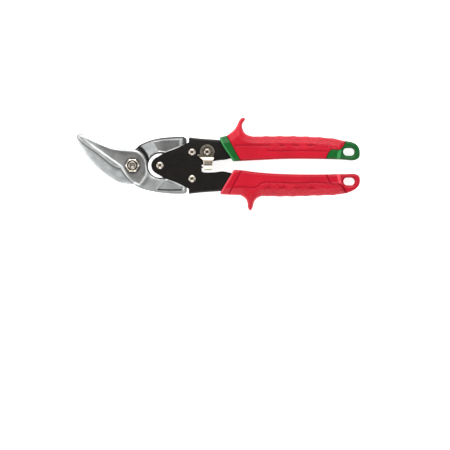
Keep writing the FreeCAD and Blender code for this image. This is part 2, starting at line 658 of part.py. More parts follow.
def core_block(name, collar, spine, tail, hole):
    """A hard core: a full-size front collar and hanging end, joined by a spine under the overmould."""
    body = new_body(name)
    full, slim = "2 * Sheet.GripHalf", "2 * Sheet.CoreHalf"
    pad(body, "spine", spine, "-Sheet.CoreHalf", slim)
    pad(body, "collar", collar, "-Sheet.GripHalf", full)
    pad(body, "hanging_end", tail, "-Sheet.GripHalf", full)
    sketch = sketch_on(body, "hanging_slot_outline", "Sheet.GripHalf + 1")
    draw(sketch, slot(hole))
    cut_down(body, "hanging_slot", sketch, "2 * Sheet.GripHalf + 2")
    return body


def overmould_block(name, runs):
    """The soft grip before its core is taken out of it."""
    body = new_body(name)
    pad(body, "grip", runs, "-Sheet.GripHalf", "2 * Sheet.GripHalf")
    return body


upper_core = core_block("upper_core_block", UPPER_COLLAR, UPPER_SPINE, UPPER_TAIL, UPPER_HOLE)
upper_soft = overmould_block("upper_grip_block",
                             [UPPER_FRONT, UPPER_HORN, UPPER_BACK, UPPER_TAIL_JOINT, UPPER_BELLY])
lower_core = core_block("lower_core_block", LOWER_COLLAR, LOWER_SPINE, LOWER_TAIL, LOWER_HOLE)
lower_soft = overmould_block("lower_grip_block", [LOWER_JOINT, LOWER_BELLY, LOWER_HORN, LOWER_BACK,
                                                  LOWER_TAIL_JOINT, LOWER_TOP])
boolean("Cut", "upper_grip_core", upper_core, upper_handle)
boolean("Cut", "lower_grip_core", lower_core, lower_handle)
boolean("Cut", "upper_grip", boolean("Cut", "upper_grip_shell", upper_soft, upper_core), upper_handle)
boolean("Cut", "lower_grip", boolean("Cut", "lower_grip_shell", lower_soft, lower_core), lower_handle)

# ---------------------------------------------------------------- check and export

NODES = [
    "front_jaw", "back_jaw", "pivot_bolt", "pivot_nut", "bolt_washer", "upper_handle", "lower_handle",
    "handle_pivot_rivet", "handle_pivot_sleeve", "opening_spring", "upper_jaw_rivet", "lower_jaw_rivet",
    "upper_jaw_spacer", "lower_jaw_spacer", "latch", "latch_rivet", "latch_washer",
    "upper_grip_core", "upper_grip", "lower_grip_core", "lower_grip",
]

doc.recompute()
for item in doc.Objects:
    if "Invalid" in item.State or "Error" in item.State:
        raise SystemExit(f"{item.Name} is {item.State}")
    if item.TypeId in ("PartDesign::Pocket", "PartDesign::Groove"):
        if item.BaseFeature.Shape.Volume - item.Shape.Volume < 0.1:
            raise SystemExit(f"{item.Name} cuts nothing")

os.makedirs("parts", exist_ok=True)
whole = FreeCAD.BoundBox()
for name in NODES:
    shape = doc.getObjectsByLabel(name)[0].Shape
    if shape.isNull() or not shape.isValid():
        raise SystemExit(f"{name} has no valid shape")
    whole.add(shape.BoundBox)
    print(f"{name:22s} solids {len(shape.Solids)} volume {shape.Volume / 1000:.2f} cm3")
    shape.exportStep(f"parts/{name}.step")
print("box", whole)
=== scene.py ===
"""Aviation snips: the looks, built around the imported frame.

Plan sizes are in millimetres from the main bolt's axis, +X towards the hanging ends and +Y across the
handles.  Heights are in millimetres from the plane where the jaws meet.
"""

import json
import math

import bmesh
import bpy
import numpy as np
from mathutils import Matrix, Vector, geometry

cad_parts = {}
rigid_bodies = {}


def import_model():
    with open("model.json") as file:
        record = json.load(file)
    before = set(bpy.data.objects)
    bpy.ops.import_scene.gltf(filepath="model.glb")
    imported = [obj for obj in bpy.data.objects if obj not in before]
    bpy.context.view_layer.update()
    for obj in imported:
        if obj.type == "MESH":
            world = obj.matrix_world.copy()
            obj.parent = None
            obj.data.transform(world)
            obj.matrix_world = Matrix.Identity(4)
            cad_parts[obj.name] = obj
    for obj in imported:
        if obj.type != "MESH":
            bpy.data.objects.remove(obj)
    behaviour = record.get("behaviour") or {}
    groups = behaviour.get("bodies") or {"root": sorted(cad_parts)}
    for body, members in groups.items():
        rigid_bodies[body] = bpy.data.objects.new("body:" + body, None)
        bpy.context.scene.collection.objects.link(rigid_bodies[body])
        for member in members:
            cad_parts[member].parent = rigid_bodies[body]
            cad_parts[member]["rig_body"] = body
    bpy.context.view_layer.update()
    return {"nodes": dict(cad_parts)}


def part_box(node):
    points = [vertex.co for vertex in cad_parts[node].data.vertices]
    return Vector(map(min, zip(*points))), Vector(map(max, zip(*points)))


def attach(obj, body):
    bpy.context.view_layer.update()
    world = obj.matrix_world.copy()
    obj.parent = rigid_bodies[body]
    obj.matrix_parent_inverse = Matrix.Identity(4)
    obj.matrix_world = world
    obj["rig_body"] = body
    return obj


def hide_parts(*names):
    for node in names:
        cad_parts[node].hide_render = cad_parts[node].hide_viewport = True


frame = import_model()

MM = 0.001


def middle(node):
    """The middle of a CAD node's box."""
    low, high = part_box(node)
    return (low + high) / 2


BOLT = middle("pivot_nut")
MID_LEVEL = middle("lower_grip").z
PIVOT = (middle("handle_pivot_rivet") - BOLT) / MM
UPPER_EYE = (middle("upper_jaw_rivet") - BOLT) / MM
LOWER_EYE = (middle("lower_jaw_rivet") - BOLT) / MM
GRIP_HALF = (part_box("lower_grip")[1].z - MID_LEVEL) / MM
JAW_FACE = (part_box("front_jaw")[1].z - MID_LEVEL) / MM
SHANK_HOLE = 4.05
SLACK_HOLE = 4.4
EYE_HOLE = 2.55


def place(x, y, up):
    """A point in the row frame, in metres."""
    return (BOLT.x + x * MM, BOLT.y + y * MM, MID_LEVEL + up * MM)


# ---------------------------------------------------------------- plan curves


def through(points, step):
    """Points about a step apart along the natural cubic curve through the given ones."""
    p = np.array(points, float)
    along = np.concatenate([[0], np.cumsum(np.linalg.norm(np.diff(p, axis=0), axis=1))])
    gap = np.diff(along)
    count = len(p)
    matrix, right = np.eye(count), np.zeros((count, 2))
    for i in range(1, count - 1):
        matrix[i, i - 1:i + 2] = gap[i - 1], 2 * (gap[i - 1] + gap[i]), gap[i]
        right[i] = 6 * ((p[i + 1] - p[i]) / gap[i] - (p[i] - p[i - 1]) / gap[i - 1])
    bend = np.linalg.solve(matrix, right)
    s = np.linspace(0, along[-1], max(2, math.ceil(along[-1] / step) + 1))
    k = np.clip(np.searchsorted(along, s, "right") - 1, 0, count - 2)
    a, b = ((along[k + 1] - s) / gap[k])[:, None], ((s - along[k]) / gap[k])[:, None]
    curve = a * p[k] + b * p[k + 1]
    return curve + ((a**3 - a) * bend[k] + (b**3 - b) * bend[k + 1]) * (gap[k] ** 2)[:, None] / 6


def arc(centre, radius, start, stop, step=0.5):
    """Points along an arc, angles in degrees."""
    count = max(3, math.ceil(abs(math.radians(stop - start)) * radius / step) + 1)
    turn = np.radians(np.linspace(start, stop, count))
    return np.stack([centre[0] + radius * np.cos(turn), centre[1] + radius * np.sin(turn)], 1)


def flipped(points):
    """The same points on the other side of the centre line."""
    return np.array(points, float) * (1, -1)


def joined(runs, step=0.5):
    """Runs of points as one closed loop; a list of corners is drawn as a smooth curve."""
    drawn = [r if isinstance(r, np.ndarray) else through(r, step) for r in runs]
    return np.concatenate([r[:-1] for r in drawn]), drawn


def nearest(xy, line):
    """Distance from each point to a line of points, and which side: positive on its right."""
    a, b = line[:-1], line[1:]
    run = b - a
    square = np.maximum((run**2).sum(1), 1e-12)
    best = np.full(len(xy), 1e9)
    side = np.ones(len(xy))
    for start in range(0, len(xy), 2000):
        part = xy[start:start + 2000]
        rel = part[:, None] - a[None]
        share = np.clip((rel * run).sum(2) / square, 0, 1)
        off = rel - share[..., None] * run
        far = np.sqrt((off**2).sum(2))
        pick = far.argmin(1)
        rows = np.arange(len(part))
        best[start:start + 2000] = far[rows, pick]
        cross = run[pick, 0] * rel[rows, pick, 1] - run[pick, 1] * rel[rows, pick, 0]
        side[start:start + 2000] = np.where(cross > 0, -1, 1)
    return best, side


def distance(xy, line):
    """Distance from each point to a line of points."""
    return nearest(xy, line)[0]


def closed(loop):
    """A loop with its first point again at its end."""
    return np.concatenate([loop, loop[:1]])


def inside(xy, loop):
    """Which points lie inside a loop."""
    within = np.zeros(len(xy), bool)
    for a, b in zip(loop, np.roll(loop, -1, 0)):
        crosses = (a[1] > xy[:, 1]) != (b[1] > xy[:, 1])
        with np.errstate(divide="ignore", invalid="ignore"):
            at = (b[0] - a[0]) * (xy[:, 1] - a[1]) / (b[1] - a[1]) + a[0]
        within ^= crosses & (xy[:, 0] < at)
    return within


def on_plan(xy, loops):
    """Which points lie inside the outline and outside its holes."""
    keep = inside(xy, loops[0])
    for hole in loops[1:]:
        keep &= ~inside(xy, hole)
    return keep


def normals(run):
    """Unit vectors to the left of each step."""
    return np.stack([-run[:, 1], run[:, 0]], 1) / np.maximum(np.linalg.norm(run, axis=1), 1e-9)[:, None]


def fall(far, width):
    """1 at a line, falling evenly to 0 at a width from it."""
    return 1 - np.clip(far / width, 0, 1)


def ease(value, start, stop):
    """0 before start, 1 after stop, and smooth between them."""
    t = np.clip((value - start) / (stop - start), 0, 1)
    return t * t * (3 - 2 * t)


def rounded(depth, across, down):
    """How far a face falls near an edge that is rounded over a width and a depth."""
    t = fall(depth, across)
    return down * (1 - np.sqrt(np.maximum(1 - t * t, 0)))


# ---------------------------------------------------------------- bodies from a plan


def inset(loop, depth, loops):
    """Points a depth inside a loop, without those that come too near another stretch."""
    ahead, behind = np.roll(loop, -1, 0), np.roll(loop, 1, 0)
    normal = normals(ahead - behind)
    found = []
    for sign in (1, -1):
        spots = loop + sign * depth * normal
        keep = on_plan(spots, loops)
        for other in loops:
            keep &= distance(spots, closed(other)) > 0.96 * depth
        found.append(spots[keep])
    return np.concatenate(found)


def spread(groups):
    """All the points of the groups, first come first kept, none nearer than its group's gap."""
    cell = max(gap for _, gap in groups)
    kept, table = [], {}
    for points, gap in groups:
        for x, y in points:
            i, j = int(x // cell), int(y // cell)
            near = (q for di in (-1, 0, 1) for dj in (-1, 0, 1) for q in table.get((i + di, j + dj), ()))
            if all((x - q[0]) ** 2 + (y - q[1]) ** 2 >= gap * gap for q in near):
                table.setdefault((i, j), []).append((x, y))
                kept.append((x, y))
    return kept


# least spacing of the points along fine detail and along the rings
DETAIL_GAP = 0.22
RING_GAP = 0.3
# points nearer than this, in metres, are one
WELD = 2e-6


def plan_body(name, loops, top, bottom, rings, grid, lines=(), sharp=35):
    """A closed body over a plan: its loops are the outline and then its holes.

    top and bottom give the two faces' heights and tones at plan points.  Rings are rows of points
    at those depths inside the loops, lines are where the faces have fine detail, and grid is the
    spacing of the rest.
    """
    edge = np.concatenate(loops)
    low, high = edge.min(0), edge.max(0)
    xs, ys = np.arange(low[0], high[0], grid), np.arange(low[1], high[1], grid)
    field = np.array([(x + (grid / 2 if j % 2 else 0), y) for j, y in enumerate(ys) for x in xs])
    extra = [(spots, DETAIL_GAP) for spots in lines]
    ringed = [(inset(loop, depth, loops), RING_GAP) for depth in rings for loop in loops]
    inner = []
    for spots, gap in extra + ringed + [(field, 0.6 * grid)]:
        keep = on_plan(spots, loops)
        for loop in loops:
            keep &= distance(spots, closed(loop)) > 0.5 * min(rings[0], RING_GAP)
        inner.append((spots[keep], gap))
    points = [tuple(p) for p in edge] + spread(inner)
    ties, start = [], 0
    for loop in loops:
        count = len(loop)
        ties += [(start + i, start + (i + 1) % count) for i in range(count)]
        start += count
    made = geometry.delaunay_2d_cdt([Vector(p) for p in points], ties, [], 0, 1e-7)
    xy = np.array([tuple(v) for v in made[0]])
    triangles = np.array([tuple(f) for f in made[2]])
    triangles = triangles[on_plan(xy[triangles].mean(1), loops)]
    a, b, c = (xy[triangles[:, i]] for i in range(3))
    turn = (b[:, 0] - a[:, 0]) * (c[:, 1] - a[:, 1]) - (b[:, 1] - a[:, 1]) * (c[:, 0] - a[:, 0])
    triangles[turn < 0] = triangles[turn < 0][:, ::-1]
    (over, over_tone), (under, under_tone) = top(xy), bottom(xy)
    count = len(xy)
    vertices = [place(*p, z) for p, z in zip(xy, over)] + [place(*p, z) for p, z in zip(xy, under)]
    faces = [tuple(map(int, t)) for t in triangles]
    used = {}
    for t in triangles:
        for i, j in ((0, 1), (1, 2), (2, 0)):
            used[(t[i], t[j])] = True
    walls = [(int(j), int(i), int(i + count), int(j + count)) for i, j in used if (j, i) not in used]
    faces += [tuple(int(i) + count for i in t[::-1]) for t in triangles] + walls
    mesh = bpy.data.meshes.new(name)
    mesh.from_pydata(vertices, [], faces)
    tones = mesh.attributes.new("tone", "FLOAT", "POINT")
    tones.data.foreach_set("value", np.concatenate([over_tone, under_tone]).astype(np.float32))
    mesh.update()
    finish_mesh(mesh, sharp)
    return new_object(name, mesh)


def new_object(name, data):
    """A new object of some data, linked to the scene."""
    made = bpy.data.objects.new(name, data)
    bpy.context.scene.collection.objects.link(made)
    return made


def finish_mesh(mesh, sharp):
    """Takes out points that no face uses, points the faces outwards and shades smooth up to an angle."""
    work = bmesh.new()
    work.from_mesh(mesh)
    bmesh.ops.delete(work, geom=[v for v in work.verts if not v.link_faces], context="VERTS")
    bmesh.ops.remove_doubles(work, verts=work.verts, dist=WELD)
    bmesh.ops.recalc_face_normals(work, faces=work.faces)
    work.to_mesh(mesh)
    work.free()
    mesh.shade_smooth()
    mesh.set_sharp_from_angle(angle=math.radians(sharp))


def rows_along(line, width, count, step=0.6):
    """Rows of points beside a line, for a groove or a ridge of that half width."""
    fine = through(line, step)
    normal = normals(np.gradient(fine, axis=0))
    return np.concatenate([fine + normal * off for off in np.linspace(-width, width, count)])


def circle(centre, radius, step=0.5):
    """A round hole as a loop."""
    return arc(centre, radius, 0, 360, step)[:-1]


# ---------------------------------------------------------------- materials


def linear(code):
    """An sRGB hex value as linear red, green, blue and full alpha."""
    parts = [int(code[i:i + 2], 16) / 255 for i in (1, 3, 5)]
    return [p / 12.92 if p <= 0.04045 else ((p + 0.055) / 1.055) ** 2.4 for p in parts] + [1.0]


def node(tree, kind, settings=(), links=()):
    """Adds a node, sets its properties and inputs, and links its inputs to outputs."""
    made = tree.nodes.new(kind)
    for key, value in dict(settings).items():
        if isinstance(key, str) and hasattr(made, key) and key not in made.inputs:
            setattr(made, key, value)
        else:
            made.inputs[key].default_value = value
    for key, output in dict(links).items():
        tree.links.new(output, made.inputs[key])
    return made


def surface(name, settings):
    """A new material with its shader and Object coordinates."""
    material = bpy.data.materials.new(name)
    material.use_nodes = True
    tree = material.node_tree
    shader = tree.nodes["Principled BSDF"]
    for key, value in settings.items():
        shader.inputs[key].default_value = value
    where = tree.nodes.new("ShaderNodeTexCoord").outputs["Object"]
    return material, tree, shader, where


def grain(tree, where, size_mm, detail=2.0, stretch=(1, 1, 1), rough=0.5):
    """Noise whose blotches are about a size in millimetres, drawn out along an axis if wished."""
    scaled = node(tree, "ShaderNodeMapping", {"Scale": stretch}, {"Vector": where})
    settings = {"Scale": 1 / (size_mm * MM), "Detail": detail, "Roughness": rough}
    return node(tree, "ShaderNodeTexNoise", settings, {"Vector": scaled.outputs["Vector"]}).outputs["Fac"]


def spans(tree, value, low, high, to_low, to_high):
    """A value's range turned to another range."""
    settings = {"From Min": low, "From Max": high, "To Min": to_low, "To Max": to_high}
    return node(tree, "ShaderNodeMapRange", settings, {"Value": value}).outputs["Result"]


def shades(tree, factor, dark, light):
    """A mix of two colours by a factor; a colour is linear values or another node's output."""
    made = node(tree, "ShaderNodeMix", {"data_type": "RGBA"})
    for socket, colour in ((made.inputs[6], dark), (made.inputs[7], light)):
        if isinstance(colour, list):
            socket.default_value = colour
        else:
            tree.links.new(colour, socket)
    tree.links.new(factor, made.inputs[0])
    return made.outputs[2]


def own_tone(tree):
    """The tone that a piece carries on its points, which holds much of its painted light and shade."""
    return node(tree, "ShaderNodeAttribute", {"attribute_name": "tone"}).outputs["Fac"]


def relief(tree, shader, height, depth_mm, strength):
    """Bump from a height, as deep as the real relief."""
    settings = {"Distance": depth_mm * MM, "Strength": strength}
    made = node(tree, "ShaderNodeBump", settings, {"Height": height})
    tree.links.new(made.outputs["Normal"], shader.inputs["Normal"])


def combined(tree, operation, first, second=0.0):
    """Two values joined by a math operation; each is a number or another node's output."""
    made = node(tree, "ShaderNodeMath", {"operation": operation})
    for socket, value in zip(made.inputs, (first, second)):
        if isinstance(value, float):
            socket.default_value = value
        else:
            tree.links.new(value, socket)
    return made.outputs[0]


# specular level of coats and plastics whose real gloss is broken up by their grain
SOFT_GLOSS = 0.3


def ramp(tree, factor, stops):
    """Colours along a factor: each stop is a place and a hex value."""
    made = node(tree, "ShaderNodeValToRGB", {}, {"Fac": factor})
    while len(made.color_ramp.elements) < len(stops):
        made.color_ramp.elements.new(1.0)
    for element, (spot, code) in zip(made.color_ramp.elements, stops):
        element.position = spot
        element.color = linear(code)
    return made.outputs["Color"]


def multiplied(tree, first, second):
    """One colour times another."""
    made = node(tree, "ShaderNodeMix", {"data_type": "RGBA", "blend_type": "MULTIPLY"})
    made.inputs[0].default_value = 1.0
    tree.links.new(first, made.inputs[6])
    tree.links.new(second, made.inputs[7])
    return made.outputs[2]


def forged_chrome():
    """Satin chrome over a drop forging: ground faces are bright, the web is blasted, creases are painted
    black as shade.
    """
    material, tree, shader, where = surface("satin_chrome_forging", {"Metallic": 1.0})
    tone = own_tone(tree)
    streaks, blast = grain(tree, where, 0.5, 3, (0.25, 1, 1)), grain(tree, where, 0.35, 2)
    cloud = grain(tree, where, 9, 2)
    # the tone's low end paints shade in black, its top end paints highlights near white
    skin = ramp(tree, tone, ((0, "#0A0909"), (0.4, "#929291"), (0.76, "#E0E4E5"), (1, "#F8F8F8")))
    worn = ramp(tree, cloud, ((0.35, "#FFFFFF"), (0.7, "#DADAD8")))
    tree.links.new(multiplied(tree, skin, worn), shader.inputs["Base Color"])
    by_tone, by_streak = spans(tree, tone, 0.3, 1, 0.52, 0.3), spans(tree, streaks, 0.3, 0.7, -0.05, 0.06)
    tree.links.new(combined(tree, "ADD", by_tone, by_streak), shader.inputs["Roughness"])
    relief(tree, shader, combined(tree, "ADD", streaks, blast), 0.03, 0.3)
    return material


def black_coat():
    """Black electro-coat on stamped steel: a thin semi-gloss film with a faint orange peel."""
    settings = {"IOR": 1.5, "Specular IOR Level": SOFT_GLOSS}
    material, tree, shader, where = surface("black_electrocoat", settings)
    peel, dust = grain(tree, where, 1.6, 2), grain(tree, where, 14, 3)
    colour = shades(tree, spans(tree, dust, 0.35, 0.7, 0, 1), linear("#0A0705"), linear("#130E0B"))
    tree.links.new(colour, shader.inputs["Base Color"])
    tree.links.new(spans(tree, peel, 0.3, 0.7, 0.26, 0.38), shader.inputs["Roughness"])
    relief(tree, shader, peel, 0.03, 0.25)
    return material


def plated(name, dark, light, rough, size_mm, toned=False):
    """A plated or tumbled metal with fine wear; toned pieces carry painted shade and highlights."""
    material, tree, shader, where = surface(name, {"Metallic": 1.0})
    wear, fine = grain(tree, where, size_mm, 3), grain(tree, where, 0.3, 2)
    colour = shades(tree, spans(tree, wear, 0.35, 0.65, 0, 1), linear(dark), linear(light))
    if toned:
        # the piece's tone paints shade and highlights into the colour
        colour = multiplied(tree, colour, ramp(tree, own_tone(tree), ((0, "#000000"), (1, "#FFFFFF"))))
    tree.links.new(colour, shader.inputs["Base Color"])
    tree.links.new(spans(tree, wear, 0.3, 0.7, rough - 0.04, rough + 0.06), shader.inputs["Roughness"])
    relief(tree, shader, fine, 0.02, 0.2)
    return material


# tone of a grip's plain faces
EVEN = 0.8
# the flanks' coarse grain sets in between these two places along the tool
GRAIN_FROM = 106
GRAIN_FULL = 118
# it blends in over this half width, and is this many times as high as the fine grain
GRAIN_BLEND = 0.8
COARSE_HEIGHT = 12.0


def moulded(name, deep, light, crease, pale_grain_and_highlight, rough, pebble_mm, depth_mm, flank=None):
    """Moulded plastic or soft overmould: spark-eroded grain, coarse on the flanks.

    The tone is 0 in a joint, EVEN on the faces and 1 along edges with a painted highlight.
    """
    material, tree, shader, where = surface(name, {"IOR": 1.48})
    tone = own_tone(tree)
    pebble, cloud = grain(tree, where, pebble_mm, 2), grain(tree, where, 22, 3)
    even = shades(tree, spans(tree, cloud, 0.35, 0.68, 0, 1), linear(deep), linear(light))
    tree.links.new(spans(tree, pebble, 0.3, 0.7, rough - 0.05, rough + 0.08), shader.inputs["Roughness"])
    tree.links.new(spans(tree, tone, 0.2, EVEN, 0, SOFT_GLOSS), shader.inputs["Specular IOR Level"])
    height = pebble
    if flank:
        split = node(tree, "ShaderNodeSeparateXYZ", {}, {"Vector": where}).outputs
        far = combined(tree, "ABSOLUTE", combined(tree, "SUBTRACT", split["Y"], BOLT.y))
        behind = spans(tree, split["X"], BOLT.x + GRAIN_FROM * MM, BOLT.x + GRAIN_FULL * MM, 0, 1)
        aside = spans(tree, far, (flank - GRAIN_BLEND) * MM, (flank + GRAIN_BLEND) * MM, 0, 1)
        mask = combined(tree, "MULTIPLY", behind, aside)
        coarse = grain(tree, where, 1.5, 3, (0.6, 1, 1), 0.6)
        for start, stop, most, code in ((0.5, 0.3, 0.2, crease), (0.45, 0.75, 0.24, pale_grain_and_highlight)):
            share = spans(tree, coarse, start, stop, 0, most)
            even = shades(tree, combined(tree, "MULTIPLY", share, mask), even, linear(code))
        added = combined(tree, "MULTIPLY", combined(tree, "MULTIPLY", coarse, mask), COARSE_HEIGHT)
        height = combined(tree, "ADD", pebble, added)
    jointed = shades(tree, spans(tree, tone, 0, EVEN, 0, 1), linear(crease), even)
    # the pale colour along edges is a painted highlight
    edged = shades(tree, spans(tree, tone, EVEN, 1, 0, 1), jointed, linear(pale_grain_and_highlight))
    tree.links.new(edged, shader.inputs["Base Color"])
    relief(tree, shader, height, depth_mm, 0.4)
    return material


CHROME = forged_chrome()
BLACK = black_coat()
NICKEL = plated("bright_nickel", "#D2C6B6", "#E4DACC", 0.24, 4.0, True)
LATCH_STEEL = plated("tumbled_dark_nickel", "#C3B6A6", "#D8CCBC", 0.28, 3.0, True)
SPRING_STEEL = plated("oiled_spring_steel", "#55524F", "#7B7875", 0.35, 1.2)
RED_SOFT = moulded("red_overmould", "#B2021F", "#BE0423", "#70061A", "#E8505E", 0.4, 0.45, 0.05, 14.5)
RED_HARD = moulded("red_nylon", "#B00321", "#BA0524", "#70061A", "#E8505E", 0.34, 0.35, 0.03)
GREEN_HARD = moulded("green_nylon", "#00521A", "#035E21", "#032E0E", "#3E9A58", 0.34, 0.35, 0.03)


def dress(piece, material, body, slot, *nodes):
    """Gives a piece its material, body and the CAD nodes that it stands for; the slot is not used."""
    piece.data.materials.clear()
    piece.data.materials.append(material)
    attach(piece, body)
    if nodes:
        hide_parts(*nodes)
    return piece


# ---------------------------------------------------------------- jaws

ARCH = 11.0
TAIL = [
    [(28.67, -10.9), (32, -10.7), (38, -9.4), (44, -8.2), (49.05, -7.45)],
    arc(LOWER_EYE, 6.3, 135, -125),
    [(49.89, -17.06), (48.5, -18.8)],
    [(48.5, -18.8), (48.5, -23.4)],
    [(48.5, -23.4), (47.9, -24.7), (46, -25.4)],
]
LOWER_TAIL_EDGE = [(46, -25.4), (40, -25.5), (34, -25.3), (28, -24.7), (22, -24), (16, -22.8)]
UPPER_TAIL_EDGE = [(46, -25.9), (42, -26), (34, -25.6), (28, -25.1), (22, -24.2), (16, -22.7)]
FRONT_SPINE = [(-50.9, 25.6), (-49.5, 27.9), (-46.5, 28.6), (-42, 27.2), (-34, 23.4), (-26, 19.4),
               (-18, 17), (-10, 15.5), (2, 14.2), (6, 12.6), (9.5, 9.2), (12, 4.6), (13.14, 1.01)]
FRONT_HEEL = [(16, -22.8), (10, -21.2), (5, -19.2), (0.5, -16.3), (-5, -11.5), (-8, -7.6), (-10.3, -4.2)]
FRONT_EDGE = [(-11.4, -3), (-16, -1.7), (-24, 4), (-36, 13.5), (-44, 19), (-50.9, 25.6)]
BACK_SPINE = [(-50.5, 25.8), (-50.2, 23), (-47, 16.5), (-39, 5.5), (-30, -3.1), (-22, -9.4), (-14, -14.4),
              (-6, -16.5), (1, -16.5), (6, -13.6), (10, -9.6), (12.5, -4.6), (13.14, -1.01)]
BACK_ROOT = [(16, 22.7), (10, 20.3), (6, 18.2), (3, 15.7), (-4, 12), (-9, 6), (-13.5, 1.6)]
BACK_EDGE = [(-13.5, 1.6), (-20, 2.9), (-30, 10.2), (-40, 17.8), (-50.5, 25.8)]
MATING = 0.02
TIP_THICK = 2.4
THIN_FROM = -14
THIN_TO = -51


def serrated(line, pitch, depth):
    """A cutting edge with fine teeth across it."""
    fine = through(line, pitch / 2)
    normal = normals(np.gradient(fine, axis=0))
    tooth = np.where(np.arange(len(fine)) % 2, depth, 0.0)
    tooth[0] = tooth[-1] = 0
    return fine + normal * tooth[:, None]


WEB_TOP_LINE = [(-44, 24), (-41, 23.2), (-36, 21.6), (-28, 18.6), (-20, 15.4), (-12, 13.6), (-4, 12.7),
                (3, 11.9), (7, 9.2), (10.5, 4.5), (11.9, 0)]
WEB_ROOT_LINE = [(11.9, 0), (12.6, -6), (10.5, -11.5), (6, -17.6)]
WEB_LOW_LINE = [(6, -17.6), (1.5, -15.4), (-3.5, -10.8), (-7, -5.2), (-10, -1.2), (-14, 2), (-22, 7.6),
                (-30, 13.2), (-36, 17.5), (-42, 22.5), (-44, 24)]
FRONT_PANEL = [(22.3, -21.6), (29.5, -12.9), (32, -12.7), (46.2, -19), (46, -21.6)]
BACK_PANEL = [(18.6, 21.2), (23.2, 12.8), (30, 12.4), (42.4, 17.4), (42.4, 23.4), (30, 22.9)]
FRONT_SLOT = [(23, -21.7), (33, -22), (44, -21.9)]
JAW_RINGS = (0.3, 0.7, 1.1, 1.6, 2.1, 2.7)
TOOTH_PITCH = 1.1
TOOTH_DEPTH = 0.16
# tones of the front blade, its rim, the back blade and the mating faces
FRONT_TONE = 0.76
RIM_TONE = 0.72
BACK_TONE = 0.84
INNER_TONE = 0.8
# depth of the sunk web at the tip, and how much more at the boss
WEB_DEEP = 0.1
WEB_DEEPER = 0.4
# width of the drafted side at the tip, and how much less at the boss
DRAFT = 1.9
DRAFT_LESS = 1.0
# width of the ground bevels, their share of the blade's height, and the drop at the back blade's spine
GROUND_WIDE = 2.0
GROUND_SHARE = 0.3
SPINE_CHAMFER = 0.9
# width of the relief ground into the mating faces
HOLLOW_WIDE = 6
# rim of the nut on the boss, and its soft shadow
NUT_RIM = 6.4
NUT_SHADOW = 0.9
# chamfer round the arch, the tail's sunk panel, broken edge and slot, and the least height of an outer face
CHAMFER_WIDE = 1.3
CHAMFER_DEEP = 1.2
PANEL_DEEP = 0.6
BROKEN_EDGE = 0.5
SLOT_DEEP = 0.7
LEAST_HEIGHT = 0.5


def straight_loop(corners):
    """A closed loop of straight runs, as points."""
    runs = [through([a, b], 0.5)[:-1] for a, b in zip(corners, corners[1:] + corners[:1])]
    return np.concatenate(runs)


def depth_in(xy, loop):
    """Distance inside a loop, negative outside it."""
    far = distance(xy, closed(loop))
    return np.where(inside(xy, loop), far, -far)


def bump(value, centre, width):
    """1 at the centre, falling smoothly to 0 over about the width."""
    return np.exp(-(((value - centre) / width) ** 2))


def web_side(xy, thin_face, spine, cutting):
    """Height and tone of a front blade: drafted side, narrow rim, sunk web, dull strip, ground facet,
    painted light.
    """
    web_loop, drawn = joined([WEB_TOP_LINE, WEB_ROOT_LINE, WEB_LOW_LINE])
    depth = depth_in(xy, web_loop)
    top_line, root_line, low_line = (distance(xy, line) for line in drawn)
    web = ease(depth, -0.2, 1.4)
    by_low = ease(top_line - low_line, -0.5, 0.5) * ease(root_line, 0.5, 2.5)
    by_top = ease(low_line - top_line, -0.5, 0.5) * ease(root_line, 0.2, 1.5)
    ridge = bump(depth, -0.3, 0.4) * by_low
    far_back = ease(xy[:, 0], -43, -24)
    z = thin_face - (WEB_DEEP + WEB_DEEPER * far_back) * web + 0.08 * ridge
    strip = ease(-depth, 0.6, 1.1) * by_low
    past_root = ease(-depth, 0.5, 1.1) * ease(np.minimum(top_line, low_line) - root_line, 0, 1)
    # the ridge's added tone is a painted highlight
    tone = FRONT_TONE - (0.12 + 0.25 * far_back) * web + 0.08 * ridge - 0.2 * strip
    tone -= 0.2 * past_root * (1 - ease(root_line, 1.5, 6))
    # painted shade along the web's top border towards the boss
    tone -= far_back * by_top * (0.24 * bump(depth, 0.3, 0.45) + 0.1 * bump(depth, 1.2, 2.6) * web)
    edge_far, side_far = distance(xy, cutting), distance(xy, spine)
    z = z - GROUND_SHARE * thin_face * fall(edge_far, GROUND_WIDE)
    draft = DRAFT - DRAFT_LESS * ease(xy[:, 0], -3, 5)
    z = z - 0.8 * draft * fall(side_far, draft)
    # the drafted side keeps at least the rim's tone; painted shade along the outline
    rim = RIM_TONE - 0.12 * (1 - ease(xy[:, 0], -38, -28))
    tone = np.where(side_far < draft, np.maximum(tone, rim), tone) * (1 - 0.5 * bump(side_far, 0, 0.45))
    # painted shadow round the nut and along the cutting edge
    around_nut = bump(np.hypot(xy[:, 0], xy[:, 1]), NUT_RIM, NUT_SHADOW)
    return z, tone * (1 - 0.95 * bump(edge_far, 0, 0.5)) * (1 - 0.6 * around_nut)


def plain_blade(xy, thin_face, spine, cutting):
    """Height and tone of the back blade's ground faces."""
    side_far = distance(xy, spine)
    z = thin_face - SPINE_CHAMFER * fall(side_far, GROUND_WIDE)
    z = z - GROUND_SHARE * thin_face * fall(distance(xy, cutting), GROUND_WIDE)
    # painted shade along the spine's edge
    return z, BACK_TONE - 0.2 * bump(side_far, 0, 0.4)


